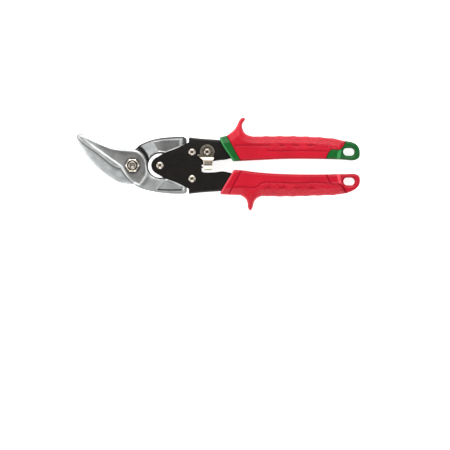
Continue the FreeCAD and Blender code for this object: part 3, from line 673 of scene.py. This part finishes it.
def make_jaw(name, front):
    """One forged jaw: front is True for the one with the upper blade."""
    flip = 1 if front else -1
    mirrored = [flipped(r) if isinstance(r, np.ndarray) else flipped(r).tolist() for r in TAIL]
    tail = TAIL if front else mirrored
    spine = through(FRONT_SPINE if front else BACK_SPINE, 0.5)
    arch_line = arc(PIVOT, ARCH, 175, 290) if front else arc(PIVOT, ARCH, 185, 70)
    tail_edge = LOWER_TAIL_EDGE if front else flipped(UPPER_TAIL_EDGE).tolist()
    heel = FRONT_HEEL if front else BACK_ROOT
    edge_points = FRONT_EDGE if front else BACK_EDGE
    hook = [[(-10.3, -4.2), (-11.4, -3)]] if front else []
    toothed = serrated(edge_points, TOOTH_PITCH, TOOTH_DEPTH)
    loop = joined([spine, arch_line] + tail + [tail_edge, heel] + hook + [toothed])[0]
    cutting = np.concatenate([through(heel[-4:] if front else heel[-2:], 0.5), through(edge_points, 0.5)])
    tail_line = np.concatenate([r if isinstance(r, np.ndarray) else through(r, 0.5) for r in tail])
    rest = np.concatenate([tail_line, through(tail_edge, 0.5)])
    root = through(heel, 0.5)
    panel = straight_loop(FRONT_PANEL if front else BACK_PANEL)
    eye = LOWER_EYE if front else UPPER_EYE
    slot_line = through(FRONT_SLOT, 0.5)

    def thinned(xy):
        """The outer face's height, which falls towards the tip."""
        thin = np.clip((THIN_FROM - xy[:, 0]) / (THIN_FROM - THIN_TO), 0, 1)
        return JAW_FACE + (TIP_THICK - JAW_FACE) * thin

    def tail_relief(xy, z, tone, within, seen):
        """The tail's sunk panel and broken edges: seen is for the jaw whose tail shows its inner side.

        That side is darker and rougher, with painted shade on a band and the ear and a painted highlight
        line.
        The other has a painted highlight border and a slot painted dark as shadow.
        """
        depth = depth_in(xy, panel)
        sunk = ease(depth, -0.3, 0.5) * within
        border = bump(depth, -0.9, 0.6) * within
        edge = distance(xy, rest)
        z = z - PANEL_DEEP * sunk - BROKEN_EDGE * fall(edge, BROKEN_EDGE) ** 2
        # the sunk panel is darker; the other side's bright border is a painted highlight
        tone = tone - (0.55 if seen else 0.06) * sunk * tone + (0 if seen else 0.22) * border
        if seen:
            aside, rim = np.abs(xy[:, 1]), np.minimum(edge, distance(xy, root))
            # painted shade in a band along the edge and on the ear, and a painted highlight line near the
            # top
            band = (1 - ease(rim, 0.9, 1.7)) * ease(aside, 15, 17)
            ear = ease(xy[:, 0], 44.6, 45.2) * ease(aside, 18.5, 19.5)
            line = bump(edge, 2.4, 0.4) * ease(aside, 20, 22)
            tone = tone * (1 - 0.28 * ease(xy[:, 0], 22, 28) * within) + 0.2 * line
            tone = tone * (1 - 0.8 * np.maximum(band, ear))
        else:
            # painted shadow in the slot
            slot = (1 - ease(distance(xy, slot_line), 0.3, 0.75)) * within
            z, tone = z - SLOT_DEEP * slot, tone * (1 - 0.95 * slot)
        return z, np.clip(tone, 0.02, 1)

    def arch_edge(xy, z, tone):
        """The chamfer round the arch, with painted shade at its rim."""
        far = distance(xy, arch_line)
        z = z - CHAMFER_DEEP * fall(far, CHAMFER_WIDE)
        return z, tone * (1 - 0.5 * (1 - ease(far, 0.5, 1.1)))

    def shaded(xy, tone):
        """A face's tone, with painted shade at its outline that darkens the forged side walls."""
        return tone * (1 - 0.5 * bump(distance(xy, closed(loop)), 0, 0.4))

    def outer(xy):
        """The face away from the other jaw."""
        z, tone = (web_side if front else plain_blade)(xy, thinned(xy), spine, cutting)
        on_tail = ease(xy[:, 0] + 0.45 * np.abs(xy[:, 1]), 18, 21) * ease(-flip * xy[:, 1], 4, 7)
        z, tone = tail_relief(xy, z, tone, on_tail, False)
        z, tone = arch_edge(xy, z, tone)
        # painted shade along the front jaw's root
        tone = tone * (1 - 0.35 * bump(distance(xy, root), 0, 0.5)) if front else shaded(xy, tone)
        return flip * np.maximum(z, LEAST_HEIGHT), tone

    def inner(xy):
        """The mating face, and the tail's other side beyond the ramp."""
        radius = np.hypot(xy[:, 0], xy[:, 1])
        toward = -flip * xy[:, 1]
        start = ease(toward, 1.0, 3.0) * ease(xy[:, 0], 1.5, 2.5)
        ramp = ease(radius + 0.35 * (xy[:, 0] - 9), 14.6, 19.2) * start
        flat = ease(ramp, 0.9, 1.0)
        slope = ease(radius, 13.5, 14.3) * start * (1 - flat)
        # painted shade on the slope where the tail rises
        tone = INNER_TONE - (0.62 - 0.3 * ease(ramp, 0.3, 0.95)) * slope
        hollow = fall(distance(xy, spine), HOLLOW_WIDE) ** 2
        lift, tone = tail_relief(xy, (JAW_FACE + MATING) * ramp, tone, flat, not front)
        lift = np.where(ramp > 0.01, lift, 0)
        arched, arched_tone = arch_edge(xy, lift, tone)
        risen = ramp > 0.5
        lift, tone = np.where(risen, np.maximum(arched, 0), lift), np.where(risen, arched_tone, tone)
        return flip * ((MATING + hollow) * (1 - ramp) - lift), shaded(xy, tone) if front else tone

    lines = [np.concatenate([closed(panel) + (dx, dy) for dx in (-0.6, 0, 0.6) for dy in (-0.6, 0, 0.6)])]
    if front:
        marked = (WEB_TOP_LINE, WEB_ROOT_LINE, WEB_LOW_LINE, FRONT_SLOT)
        lines += [rows_along(line, 1.2, 7, 0.6) for line in marked]
    loops = [loop, circle((0, 0), SHANK_HOLE if front else SLACK_HOLE), circle(eye, EYE_HOLE)]
    faces = (outer, inner) if front else (inner, outer)
    return plan_body(name, loops, faces[0], faces[1], JAW_RINGS, 1.0, lines)


for jaw_name, is_front, jaw_body, jaw_node in (
    ("front_forging", True, "upper_cutter", "front_jaw"),
    ("back_forging", False, "lower_cutter", "back_jaw"),
):
    dress(make_jaw(jaw_name, is_front), CHROME, jaw_body, "forged_jaws", jaw_node)


# ---------------------------------------------------------------- stampings and fasteners


STAMPED_EDGE = 0.35


def refined(node_name, piece_name):
    """A copy of a handle's CAD node with its edges broken, as stamping and tumbling leave them."""
    source = frame["nodes"][node_name]
    mesh = source.data.copy()
    mesh.name = piece_name
    work = bmesh.new()
    work.from_mesh(mesh)
    bmesh.ops.remove_doubles(work, verts=work.verts, dist=WELD)
    bmesh.ops.dissolve_limit(work, angle_limit=math.radians(1.0), verts=work.verts, edges=work.edges)
    work.to_mesh(mesh)
    work.free()
    piece = new_object(piece_name, mesh)
    bevel = piece.modifiers.new("broken_edges", "BEVEL")
    bevel.width = STAMPED_EDGE * MM
    bevel.segments = 3
    bevel.limit_method = "ANGLE"
    bevel.angle_limit = math.radians(40)
    bevel.harden_normals = True
    mesh.shade_smooth()
    mesh.set_sharp_from_angle(angle=math.radians(35))
    dress(piece, BLACK, source["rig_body"], "black_handles", node_name)


for cad_name, channel_name in (("upper_handle", "upper_channel"), ("lower_handle", "lower_channel")):
    refined(cad_name, channel_name)


# (y, height over the seat, tone) down the latch, disc to finger; the tone paints light and shade on the
# folds
LATCH_WAVE = [(20, 0, 0.42), (7.4, 0, 0.42), (6.9, 0.1, 0.9), (4.9, 1.4, 1), (3.9, 1.4, 0.95),
              (3.4, 1.1, 0.16), (0.9, -0.1, 0.3), (0, -0.1, 0.7), (-2.7, 0.55, 0.95), (-3.1, 0.64, 0.15),
              (-3.5, 0.74, 0.9), (-5, 1.1, 1)]
LATCH_LEFT = [(58.2, 9), (60.2, 7.2), (62.8, 5.2), (63.4, 2.5), (64, -0.3), (64.6, -4)]
LATCH_RIGHT = [(71, -4), (71.5, 0), (72.6, 5), (73.6, 6.6)]
LATCH_DISC = 6.7
LATCH_HOLE = 2.2
LATCH_RINGS = (0.2, 0.45, 0.9)
# width and fall of the latch's rounded edge
LATCH_EDGE = (0.45, 0.35)


def latch():
    """The latch's stamping: a disc round its rivet and a waved finger that hooks the lower handle."""
    centre = (middle("latch_rivet") - BOLT) / MM
    low, high = ((level.z - MID_LEVEL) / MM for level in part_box("latch"))
    y, up, tones = (np.array(column[::-1], float) for column in zip(*LATCH_WAVE))
    thick = high - low - up.max() + up.min()
    loop = joined([
        arc(centre, LATCH_DISC, -36, 196), [(60.66, 10.25), (58.3, 9.6)], [(58.3, 9.6), (58.2, 9)],
        LATCH_LEFT[:3], LATCH_LEFT[2:5], LATCH_LEFT[4:], [(64.6, -4), (71, -4)], LATCH_RIGHT,
        [(73.6, 6.6), (72.52, 8.16)],
    ])[0]
    left = through(LATCH_LEFT[2:], 0.5)

    def base(xy):
        """The underside's level."""
        return low - up.min() + np.interp(xy[:, 1], y, up)

    def over(xy):
        """The upper face: rounded edge, painted highlights on the left side and disc rim, painted shade
        ringing the rivet.
        """
        edge, radius = distance(xy, closed(loop)), np.hypot(xy[:, 0] - centre.x, xy[:, 1] - centre.y)
        tone = np.interp(xy[:, 1], y, tones)
        # painted highlight along the left side
        tone = np.maximum(tone, 0.95 * bump(distance(xy, left), 0.3, 0.7) * ease(-xy[:, 1], -4.5, -3.5))
        # painted highlight on the disc's rim and painted shade ringing the rivet
        disc_rim = bump(edge, 0.4, 0.35) * ease(xy[:, 1], 7, 8)
        tone = tone * (1 - 0.85 * bump(radius, 3.7, 0.5)) + 0.18 * disc_rim
        return base(xy) + thick - rounded(edge, *LATCH_EDGE), np.clip(tone, 0, 1)

    def under(xy):
        """The lower face."""
        return base(xy), np.full(len(xy), 0.5)

    folds = [np.array([(x, level) for x in np.arange(58, 75, 0.5)]) for level in y]
    loops = [loop, circle(centre, LATCH_HOLE)]
    piece = plan_body("latch_stamping", loops, over, under, LATCH_RINGS, 0.8, folds, 40)
    dress(piece, LATCH_STEEL, "latch_plate", "latch_steel", "latch")


latch()


def lathed(node_name, piece_name, profile, flats=0.0, segments=96):
    """A turned piece about the middle of a CAD node, with a hexagon's flats if they are given.

    Each row of the profile is a radius and a level in millimetres, and a tone that paints light and shade.
    """
    centre = middle(node_name)
    verts, faces, tones = [], [], []
    for step in range(segments):
        turn = 2 * math.pi * step / segments
        reach = flats / 2 / math.cos(turn % (math.pi / 3) - math.pi / 6) if flats else math.inf
        for radius, up, tone in profile:
            tones.append(tone)
            r = min(radius, reach) * MM
            spot = (centre.x + r * math.cos(turn), centre.y + r * math.sin(turn), MID_LEVEL + up * MM)
            verts.append(spot)
    rows = len(profile)
    for step in range(segments):
        here, ahead = step * rows, (step + 1) % segments * rows
        for k in range(rows - (0 if profile[0][0] else 1)):
            above = (k + 1) % rows
            faces.append((here + k, ahead + k, ahead + above, here + above))
    mesh = bpy.data.meshes.new(piece_name)
    mesh.from_pydata(verts, [], faces)
    mesh.attributes.new("tone", "FLOAT", "POINT").data.foreach_set("value", tones)
    finish_mesh(mesh, 28)
    piece = new_object(piece_name, mesh)
    dress(piece, NICKEL, frame["nodes"][node_name]["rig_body"], "nickel_fasteners", node_name)


def ends(node_name):
    """Lowest and highest level of a CAD node, from the jaws' mating plane."""
    low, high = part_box(node_name)
    return (low.z - MID_LEVEL) / MM, (high.z - MID_LEVEL) / MM


HEX_FLATS = (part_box("pivot_nut")[1].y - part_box("pivot_nut")[0].y) / MM
HEX_CORNER = 6.35
SHANK = 4.0
BOLT_HEAD = 3.6
nut_low, nut_high = ends("pivot_nut")
# on the nut, bolt and washer the tones paint highlights on chamfers and crests and shade in recesses and
# bores
lathed("pivot_nut", "hex_nut", [
    (SHANK, nut_low, 0.2), (6.3, nut_low, 0.5), (HEX_CORNER, nut_low + 0.1, 0.5),
    (HEX_CORNER, nut_high - 0.7, 0.9), (6.25, nut_high - 0.58, 1), (5.3, nut_high - 0.1, 1),
    (5.0, nut_high, 1), (4.8, nut_high - 0.06, 0.9), (4.5, nut_high - 0.5, 0.08),
    (4.1, nut_high - 1.2, 0), (SHANK, nut_high - 1.3, 0),
], HEX_FLATS)
bolt_low, bolt_high = ends("pivot_bolt")
lathed("pivot_bolt", "hex_bolt", [
    (0, bolt_low, 0.9), (5.2, bolt_low, 0.9), (5.9, bolt_low + 0.4, 0.9), (HEX_CORNER, bolt_low + 1, 0.9),
    (HEX_CORNER, bolt_low + BOLT_HEAD, 0.9), (SHANK, bolt_low + BOLT_HEAD, 0.3),
    (SHANK, bolt_high - 1.1, 0.02), (3.75, bolt_high - 0.6, 0.1), (3.3, bolt_high - 0.2, 0.6),
    (2.9, bolt_high, 0.62), (2.3, bolt_high - 0.02, 0.4), (1.9, bolt_high - 0.1, 0.3),
    (1.5, bolt_high - 0.25, 0.6), (0.8, bolt_high - 0.3, 0.7), (0, bolt_high - 0.3, 0.6),
], HEX_FLATS)
washer_low, washer_high = ends("bolt_washer")
washer_radius = (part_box("bolt_washer")[1].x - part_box("bolt_washer")[0].x) / 2 / MM
lathed("bolt_washer", "plain_washer", [
    (SHANK_HOLE, washer_low, 0.4), (washer_radius - 0.2, washer_low, 0.9),
    (washer_radius, washer_low + 0.2, 0.9), (washer_radius, washer_high, 0.6),
    (SHANK_HOLE, washer_high, 0.4),
])


HEAD_HIGH = 1.3


def riveted(node_name, piece_name, head, shank, bright):
    """A rivet with a dished head at each end."""
    low, top = ends(node_name)
    # the tones paint highlights on the head's crests and shade in its dimple and round its foot
    half = [(0, 0.95, 0.3), (0.7, 0.85, 0.16), (1.2, 0.4, 0.3), (0.52 * head, 0.06, 0.85),
            (0.6 * head, 0, 0.95), (0.68 * head, 0.03, 0.95), (0.9 * head, 0.36, 0.85),
            (head - 0.04, 0.72, 0.4), (head, HEAD_HIGH, 0.05), (shank, HEAD_HIGH, 0.05)]
    half = [(r, z, bright * tone) for r, z, tone in half]
    over = [(r, top - z, tone) for r, z, tone in half]
    lathed(node_name, piece_name, [(r, low + z, tone) for r, z, tone in half] + over[::-1])


for cad_name, shank_radius, brightness in (
    ("handle_pivot_rivet", 2.45, 0.85),
    ("upper_jaw_rivet", 2.45, 0.85),
    ("lower_jaw_rivet", 2.45, 0.85),
    ("latch_rivet", 2.15, 0.68),
):
    rivet_low, rivet_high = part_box(cad_name)
    head_radius = (rivet_high.x - rivet_low.x) / 2 / MM
    riveted(cad_name, cad_name + "_set", head_radius, shank_radius, brightness)
# pieces that are hardly seen keep their plain shape
for cad_name in (
    "opening_spring", "handle_pivot_sleeve", "upper_jaw_spacer", "lower_jaw_spacer", "latch_washer",
):
    bare = frame["nodes"][cad_name]
    bare.data.materials.clear()
    bare.data.materials.append(SPRING_STEEL)

# ---------------------------------------------------------------- grips

UPPER_JOINT = [(97, 4.3), (92, 13), (88, 20.5), (84.5, 27)]
UPPER_HORN = [(84.5, 27), (88, 29.4), (92.5, 34), (95.7, 40.5), (99.2, 43.3), (101.2, 42.4),
              (99.3, 38.6), (98.8, 33.6), (101, 29.1), (108, 26.2)]
UPPER_BACK = [(108, 26.2), (126, 26.4), (146, 26.4), (166, 25.6), (182, 24), (191.5, 22)]
UPPER_TAIL_JOINT = [(191.5, 22), (189, 17), (185.5, 14.2), (179, 14.2), (173.7, 6)]
UPPER_BELLY = [(173.7, 6), (158, 6.2), (130, 5.9), (114, 5.1), (97, 4.3)]
UPPER_COLLAR_FRONT = [(90.3, 4), (84, 13), (79.6, 20.5), (77.9, 25.4)]
UPPER_END = [(191.5, 22), (198, 20.6), (201.9, 18), (203.7, 14.5), (204.1, 10.5), (203.3, 7),
             (200.8, 5.3), (193, 5.1), (186, 5.6), (173.7, 6)]
UPPER_HOLE = (194.25, 12.3)
LOWER_JOINT = [(98, -4.3), (86, -26.2)]
LOWER_BELLY = [(86, -26.2), (91, -26.4), (97, -26.7)]
LOWER_HORN = [(97, -26.7), (101, -29.3), (103.2, -33.5), (103.8, -38.4), (105.8, -40.6),
              (107.7, -38.4), (108.9, -33.5), (111.9, -29.3), (116, -27.4)]
LOWER_BACK = [(116, -27.4), (142, -27.7), (170, -26.8), (188, -25.6), (192, -24.9)]
LOWER_TAIL_JOINT = [(192, -24.9), (189, -19.5), (185.5, -17), (179, -16.6), (174.3, -8)]
LOWER_TOP = [(174.3, -8), (150, -8), (130, -7.4), (110, -5.9), (98, -4.3)]
LOWER_COLLAR_FRONT = [(91, -3.9), (84.8, -14), (78.6, -24.8)]
LOWER_END = [(192, -24.9), (197, -23), (200.8, -20.6), (203.5, -17.2), (204.2, -13), (203.4, -9.6),
             (200.8, -7.9), (194, -7.6), (186, -7.7), (174.3, -8)]
LOWER_HOLE = (194.5, -14.3)


# width, fall and edge radius of a grip's flanks
SOFT_FLANK = (6.2, 3.8, 2.4)
FIRM_FLANK = (1.6, 1.1, 0.8)
# how much lower the horns and the hanging ends are, and the depth of the panel before each end
HORN_FALL = 4.0
END_FALL = 2.4
END_PANEL = 0.7
LEAST_GRIP = 0.6


def faceted(depth, across, down, edge):
    """How far a face falls over a plane flank that ends in a rounded edge."""
    return down * fall(depth, across) + rounded(depth, edge, edge)


def grip_face(xy, soft_sides, firm_sides, joints, grooves, dents, painted_highlights):
    """Height and tone of a grip's flat side over its plan."""
    drops = [faceted(distance(xy, line), *SOFT_FLANK) for line in soft_sides]
    drops += [faceted(distance(xy, line), *FIRM_FLANK) for line in firm_sides]
    drop = np.maximum.reduce(drops) if drops else 0
    half = GRIP_HALF - HORN_FALL * ease(np.abs(xy[:, 1]), 27, 43) - END_FALL * ease(xy[:, 0], 186, 188.5)
    sunk = ease(xy[:, 0], 173, 175) * (1 - ease(xy[:, 0], 184.2, 185)) * ease(16.4 - np.abs(xy[:, 1]), 0, 1)
    z, tone = half - drop, np.full(len(xy), EVEN)
    # painted highlight along the given edges
    for line in painted_highlights:
        tone = np.maximum(tone, EVEN + (1 - EVEN) * bump(distance(xy, line), 0.7, 0.55))
    for line in joints:
        far = distance(xy, line)
        z, tone = z - 0.3 * bump(far, 0, 0.5), tone * (1 - 0.8 * bump(far, 0, 0.5))
    # painted shade in the grooves
    for line, deep, wide in grooves:
        far = distance(xy, line)
        z, tone = z - deep * bump(far, 0, wide), tone * (1 - 0.6 * bump(far, 0, wide))
    # painted shade in the dents
    for x, y, long, tall, deep in dents:
        spot = bump(xy[:, 0], x, long) * bump(xy[:, 1], y, tall)
        z, tone = z - deep * spot, tone * (1 - 0.6 * spot)
    return np.maximum(z - END_PANEL * sunk, LEAST_GRIP), tone


def oblong(centre, half, radius):
    """A round-ended slot along X, as a loop."""
    x, y = centre
    right, left = arc((x + half, y), radius, -90, 90), arc((x - half, y), radius, 90, 270)
    return np.concatenate([right, left])


GRIP_RINGS = (0.12, 0.35, 0.7, 1.2, 1.8, 2.5, 3.6, 5.6, 6.2, 6.8)


def make_grip(name, node_name, material, body, slot, runs, joints, firm, soft=(), holes=(), grooves=(),
              dents=(), painted_highlights=()):
    """A grip piece: the same face on both flat sides."""
    loop = joined(runs, 0.8)[0]
    loops = [loop] + list(holes)
    sides = [through(r, 0.6) for r in soft]
    firm_lines = [through(r, 0.6) for r in firm] + [closed(h) for h in holes]
    joint_lines = [through(r, 0.6) for r in joints]
    highlight_lines = [through(r, 0.6) for r in painted_highlights]
    groove_lines = [(through(points, 0.6), deep, wide) for points, deep, wide in grooves]

    def face(xy):
        """Height and tone at plan points."""
        return grip_face(xy, sides, firm_lines, joint_lines, groove_lines, dents, highlight_lines)

    def under(xy):
        """The other flat side."""
        z, tone = face(xy)
        return -z, tone

    fine = [rows_along(points, 1.6 * wide, 7, 0.8) for points, _, wide in grooves]
    for x, y, long, tall, _ in dents:
        spots = [(x + i * long / 3, y + j * tall / 2) for i in range(-6, 7) for j in range(-4, 5)]
        fine.append(np.array(spots))
    piece = plan_body(name, loops, face, under, GRIP_RINGS, 1.6, fine, 50)
    dress(piece, material, body, slot, node_name)


def waved(points, start, stop, pitch=12.0, high=0.15, crest=132):
    """A grip's back with shallow finger waves between two places, one of them at the crest."""
    line = through(points, 0.8)
    swell = ease(line[:, 0], start, start + 6) * (1 - ease(line[:, 0], stop - 6, stop))
    line[:, 1] += np.sign(line[:, 1]) * high * swell * np.cos(2 * math.pi * (line[:, 0] - crest) / pitch)
    return line


UPPER_WAVES, LOWER_WAVES = waved(UPPER_BACK, 112, 186), waved(LOWER_BACK, 118, 186)
UPPER_GROOVES = [
    ([(121, 13.1), (135, 12.9), (150, 13.1), (174, 12.8)], 0.2, 0.5),
    ([(92, 17.9), (102, 18.1), (118, 17.9)], 0.2, 0.6),
]
LOWER_GROOVES = [
    ([(92, -19.5), (102, -19.5), (111, -19.4), (116, -16), (122, -15.1), (150, -15.7), (172, -15.6),
      (177, -16.4)], 0.22, 0.6),
]
MARKS = (121, 134, 147, 160)
# the step from each sunk panel up to the eye of its hanging end, with a painted highlight along it
UPPER_RIDGE = [(184.6, 6.4), (185.4, 10), (187, 14.6)]
LOWER_RIDGE = [(184.6, -8.4), (185.4, -12), (187, -17.2)]
upper_dents = [(x, 17.8, 2.8, 0.9, 0.6) for x in MARKS]
lower_dents = [(x, -20.2, 3.2, 0.9, 0.55) for x in MARKS]

# the collars' other sides, and the hanging slots
UPPER_COLLAR_TOP = [(77.9, 25.4), (84.5, 27)]
UPPER_COLLAR_LOW = [(97, 4.3), (90.3, 4)]
LOWER_COLLAR_LOW = [(79.4, -25.9), (86, -26.2)]
LOWER_COLLAR_TOP = [(98, -4.3), (91, -3.9)]
HOLE_HALF = 1.75
HOLE_RADIUS = 3.5

make_grip(
    "upper_overmould", "upper_grip", RED_SOFT, "upper_lever", "red_overmould",
    runs=[UPPER_JOINT, UPPER_HORN, UPPER_WAVES, UPPER_TAIL_JOINT, UPPER_BELLY],
    joints=[UPPER_JOINT, UPPER_TAIL_JOINT], firm=[UPPER_BELLY], soft=[UPPER_HORN, UPPER_BACK],
    grooves=UPPER_GROOVES, dents=upper_dents,
)
make_grip(
    "upper_collar", "upper_grip_core", GREEN_HARD, "upper_lever", "green_core",
    runs=[UPPER_COLLAR_FRONT, UPPER_COLLAR_TOP, UPPER_JOINT[::-1], UPPER_COLLAR_LOW],
    joints=[UPPER_JOINT], firm=[UPPER_COLLAR_FRONT, UPPER_COLLAR_LOW], soft=[UPPER_COLLAR_TOP],
    painted_highlights=[UPPER_COLLAR_FRONT],
)
make_grip(
    "upper_hanging_end", "upper_grip_core", GREEN_HARD, "upper_lever", "green_core",
    runs=[UPPER_TAIL_JOINT[::-1], UPPER_END], joints=[UPPER_TAIL_JOINT], firm=[UPPER_END],
    holes=[oblong(UPPER_HOLE, HOLE_HALF, HOLE_RADIUS)], painted_highlights=[UPPER_RIDGE],
)
make_grip(
    "lower_overmould", "lower_grip", RED_SOFT, "lower_lever", "red_overmould",
    runs=[LOWER_JOINT, LOWER_BELLY, LOWER_HORN, LOWER_WAVES, LOWER_TAIL_JOINT, LOWER_TOP],
    joints=[LOWER_JOINT, LOWER_TAIL_JOINT], firm=[LOWER_TOP],
    soft=[LOWER_HORN, LOWER_BACK, LOWER_BELLY], grooves=LOWER_GROOVES, dents=lower_dents,
)
make_grip(
    "lower_collar", "lower_grip_core", RED_HARD, "lower_lever", "red_core",
    runs=[LOWER_COLLAR_FRONT, [(78.6, -24.8), (79.4, -25.9)], LOWER_COLLAR_LOW, LOWER_JOINT[::-1],
          LOWER_COLLAR_TOP],
    joints=[LOWER_JOINT], firm=[LOWER_COLLAR_FRONT, LOWER_COLLAR_TOP], soft=[LOWER_COLLAR_LOW],
    painted_highlights=[LOWER_COLLAR_FRONT],
)
make_grip(
    "lower_hanging_end", "lower_grip_core", RED_HARD, "lower_lever", "red_core",
    runs=[LOWER_TAIL_JOINT[::-1], LOWER_END], joints=[LOWER_TAIL_JOINT], firm=[LOWER_END],
    holes=[oblong(LOWER_HOLE, HOLE_HALF, HOLE_RADIUS)], painted_highlights=[LOWER_RIDGE],
)

# ---------------------------------------------------------------- floor, light, camera


def area_light(name, spot, size, watts):
    """A square soft box that points at the middle of the tool."""
    data = bpy.data.lights.new(name, "AREA")
    data.size = size
    data.energy = watts
    lamp = new_object(name, data)
    lamp.location = spot
    lamp.rotation_euler = (-Vector(spot)).to_track_quat("-Z", "Y").to_euler()


# glow of the floor, its half width in metres, and the light of the room
GLOW = 0.85
FLOOR = 4.0
ROOM = 0.34


def floor():
    """A plain pale floor: a sheet of opal acrylic, lit from below so that shadows stay faint."""
    mesh = bpy.data.meshes.new("floor")
    corners = [(-FLOOR, -FLOOR, 0), (FLOOR, -FLOOR, 0), (FLOOR, FLOOR, 0), (-FLOOR, FLOOR, 0)]
    mesh.from_pydata(corners, [], [(0, 1, 2, 3)])
    ground = new_object("floor", mesh)
    settings = {"Roughness": 0.6, "Emission Strength": GLOW}
    material, tree, shader, where = surface("lit_white_acrylic", settings)
    fibre = grain(tree, where, 3.0, 3)
    tree.links.new(shades(tree, fibre, linear("#F4F4F4"), linear("#FAFAFA")), shader.inputs["Base Color"])
    shader.inputs["Emission Color"].default_value = linear("#FFFFFF")
    mesh.materials.append(material)


floor()
world = bpy.data.worlds.new("soft_room")
bpy.context.scene.world = world
world.use_nodes = True
room = world.node_tree.nodes["Background"]
room.inputs["Color"].default_value = linear("#FFFFFF")
room.inputs["Strength"].default_value = ROOM
for light_name, light_spot, light_size, light_watts in (
    ("soft_box_above", (-0.1, 1.05, 0.95), 1.5, 23),
    ("soft_box_left", (-1.2, -0.1, 0.75), 1.2, 9),
    ("soft_box_right", (1.2, 0.0, 0.8), 1.2, 5),
    ("soft_box_below", (0.0, -1.2, 0.75), 1.2, 8.5),
):
    area_light(light_name, light_spot, light_size, light_watts)

# what the camera sees: the middle and width of its view
VIEW_CENTRE = (83.0, -53.4)
VIEW_WIDTH = 405.0
LENS = 200.0
SENSOR = 36.0
camera_data = bpy.data.cameras.new("camera")
camera_data.lens = LENS
camera_data.sensor_width = SENSOR
camera_data.clip_end = 20
camera = new_object("camera", camera_data)
camera.location = place(*VIEW_CENTRE, VIEW_WIDTH * LENS / SENSOR)
bpy.context.scene.camera = camera
bpy.context.scene.view_settings.view_transform = "Standard"
